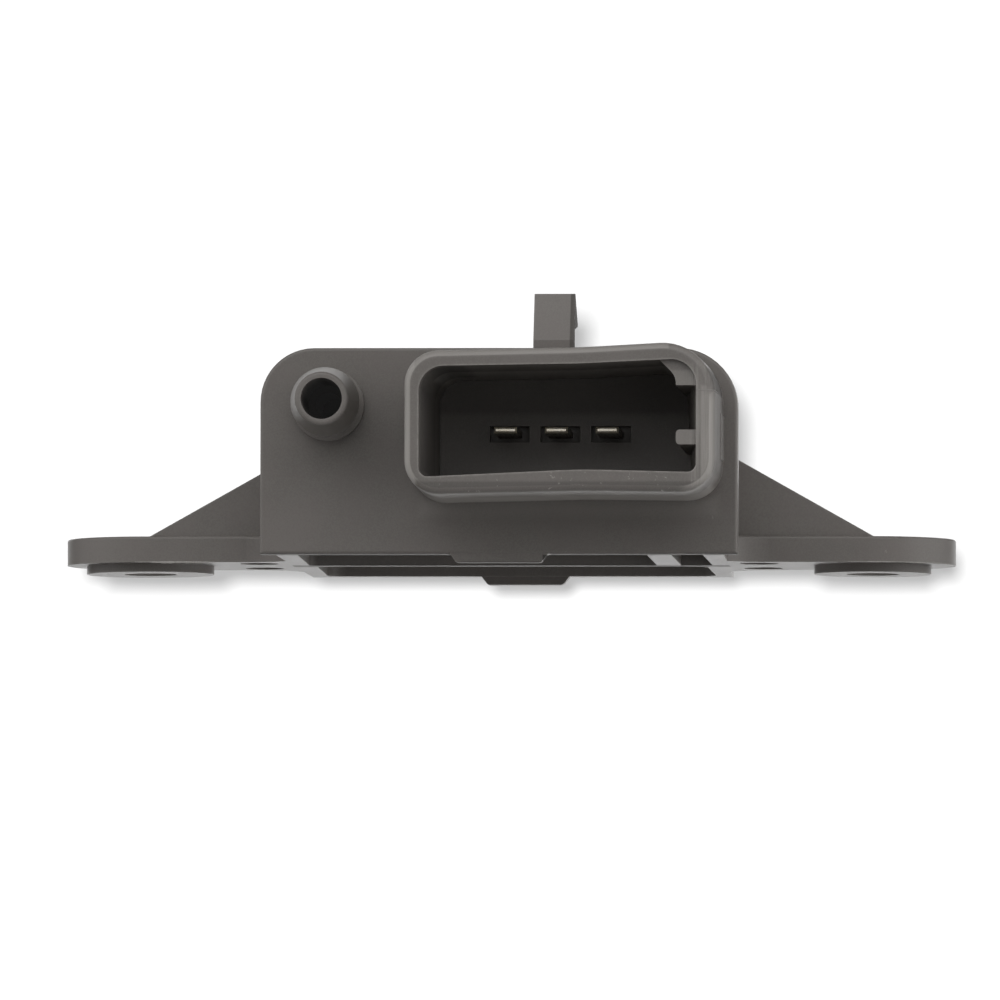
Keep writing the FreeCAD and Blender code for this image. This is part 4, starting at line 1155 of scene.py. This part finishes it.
@dataclass(frozen=True)
class Paper:
    """White paper that only the camera sees, and only from its front.

    Attributes:
        name: The material's name.
        albedo: How much of the light it gives back.
        glow: The part of its white that no shadow takes away.
    """

    name: str
    albedo: float
    glow: float

    def build(self) -> bpy.types.Material:
        """Build the material.

        Returns:
            The paper.
        """
        material, graph, shader = new_material(self.name)
        shader.inputs["Base Color"].default_value = (self.albedo,) * 3 + (1,)
        shader.inputs["Roughness"].default_value = 1.0
        shader.inputs["Specular IOR Level"].default_value = 0.0
        shader.inputs["Emission Color"].default_value = (1, 1, 1, 1)
        shader.inputs["Emission Strength"].default_value = self.glow
        seen = graph.node("ShaderNodeLightPath").outputs["Is Camera Ray"]
        back = graph.node("ShaderNodeNewGeometry").outputs["Backfacing"]
        shown = graph.times(seen, graph.maths("SUBTRACT", 1.0, back))
        clear = graph.node("ShaderNodeBsdfTransparent")
        mix = graph.node("ShaderNodeMixShader", {0: shown, 1: clear.outputs[0], 2: shader.outputs[0]})
        graph.feed(graph.tree.nodes["Material Output"].inputs["Surface"], mix.outputs[0])
        return material


class Studio:
    """The papers, the soft surround, the lamp that throws the shadow and the camera."""

    floor_half = 0.6
    wall_gap = 0.060
    wall_half = 0.5
    floor_paper = Paper("floor_paper", 0.40, 0.70)
    wall_paper = Paper("wall_paper", 0.10, 0.43)
    shadow_power = 17.5
    shadow_angle = 1.5
    shadow_run = Vector((-0.0380, 1.0, 0.034))
    azimuth = 3.0
    elevation = -2.9
    roll = 0.12
    distance = 4.6
    sensor_width = 36.0
    frame_width_mm = 99.87
    target = Vector((0.000125, -0.025, 0.006228))

    def build(self) -> None:
        """Build everything that isn't the sensor."""
        self.build_world()
        floor = self.build_sheet("floor", self.floor_half, Vector((0, 0, 0)), 0.0, self.floor_paper)
        back = CAD_BOX[1][1] + self.wall_gap
        wall = self.build_sheet("backdrop", self.wall_half, Vector((0, back, 0)), 90.0, self.wall_paper)
        self.build_shadow_lamp(wall)
        self.build_camera()

    def build_sheet(self, name: str, half: float, middle: Vector, tilt: float,
                    paper: Paper) -> bpy.types.Object:
        """Make a square sheet.

        Args:
            name: The sheet's name.
            half: Half its side.
            middle: Its middle.
            tilt: How far it is turned about X, in degrees.
            paper: Its paper.

        Returns:
            The sheet.
        """
        corners = [Vector((x * half, y * half, 0)) for x, y in ((-1, -1), (1, -1), (1, 1), (-1, 1))]
        sheet = new_piece(name, corners, [(0, 1, 2, 3)])
        sheet.rotation_euler = (math.radians(tilt), 0, 0)
        sheet.location = middle
        sheet.data.materials.append(paper.build())
        return sheet

    def build_world(self) -> None:
        """Light the sensor with the patches of the surround, and show white to the camera."""
        world = bpy.data.worlds.new("studio")
        bpy.context.scene.world = world
        world.use_nodes = True
        graph = Graph(world.node_tree)
        view = graph.node("ShaderNodeTexCoord").outputs["Generated"]
        light: Any = 0.0
        for lobe in SKY:
            facing = graph.vector("DOT_PRODUCT", view, Vector(lobe.towards).normalized())
            patch = graph.step(facing.outputs["Value"], lobe.fade, lobe.full, 0.0, lobe.strength)
            light = graph.maths("ADD", patch, light)
        rays = graph.node("ShaderNodeLightPath").outputs
        white = graph.maths("MAXIMUM", rays["Is Camera Ray"], rays["Is Transmission Ray"])
        strength = graph.node("ShaderNodeMix", data_type="FLOAT")
        graph.feed(strength.inputs[0], white)
        graph.feed(strength.inputs[2], light)
        strength.inputs[3].default_value = 1.0
        background = world.node_tree.nodes["Background"]
        background.inputs["Color"].default_value = (1, 1, 1, 1)
        graph.feed(background.inputs["Strength"], strength.outputs[0])

    def build_shadow_lamp(self, wall: bpy.types.Object) -> None:
        """Make the lamp that lights only the backdrop, so that the sensor's soft shadow lies on it.

        Args:
            wall: The backdrop.
        """
        only_wall = bpy.data.collections.new("lit_by_shadow_lamp")
        only_wall.objects.link(wall)
        data = bpy.data.lights.new("shadow_lamp", "SUN")
        data.energy = self.shadow_power
        data.angle = math.radians(self.shadow_angle)
        lamp = bpy.data.objects.new("shadow_lamp", data)
        lamp.rotation_euler = self.shadow_run.to_track_quat("-Z", "Y").to_euler()
        lamp.light_linking.receiver_collection = only_wall
        bpy.context.scene.collection.objects.link(lamp)

    def build_camera(self) -> None:
        """Stand the camera where the photograph was taken from."""
        data = bpy.data.cameras.new("camera")
        data.sensor_width = self.sensor_width
        data.lens = self.sensor_width * self.distance / (self.frame_width_mm * MM)
        data.clip_start = 0.01
        data.clip_end = 100.0
        camera = bpy.data.objects.new("camera", data)
        across, rise = math.radians(self.azimuth), math.radians(self.elevation)
        back = Vector((math.sin(across) * math.cos(rise), -math.cos(across) * math.cos(rise),
                       math.sin(rise)))
        camera.location = self.target + back * self.distance
        level = (-back).to_track_quat("-Z", "Y")
        camera.rotation_euler = (level @ Quaternion((0, 0, 1), math.radians(self.roll))).to_euler()
        bpy.context.scene.collection.objects.link(camera)
        bpy.context.scene.camera = camera


def main() -> None:
    """Dress the solids, add the small moulding marks and set up the studio."""
    logging.basicConfig(level=logging.INFO, format="%(name)s: %(message)s")
    bpy.context.scene.view_settings.view_transform = "Standard"
    PackedSensor(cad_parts).dress()
    EarFlash("left_ear_flash", -37.4, -29.4).build()
    EarFlash("right_ear_flash", 34.2, 44.62, drop=0.07, seed=8).build()
    CoreSeam().build()
    SideLand().build()
    Studio().build()


if __name__ == "__main__":
    main()
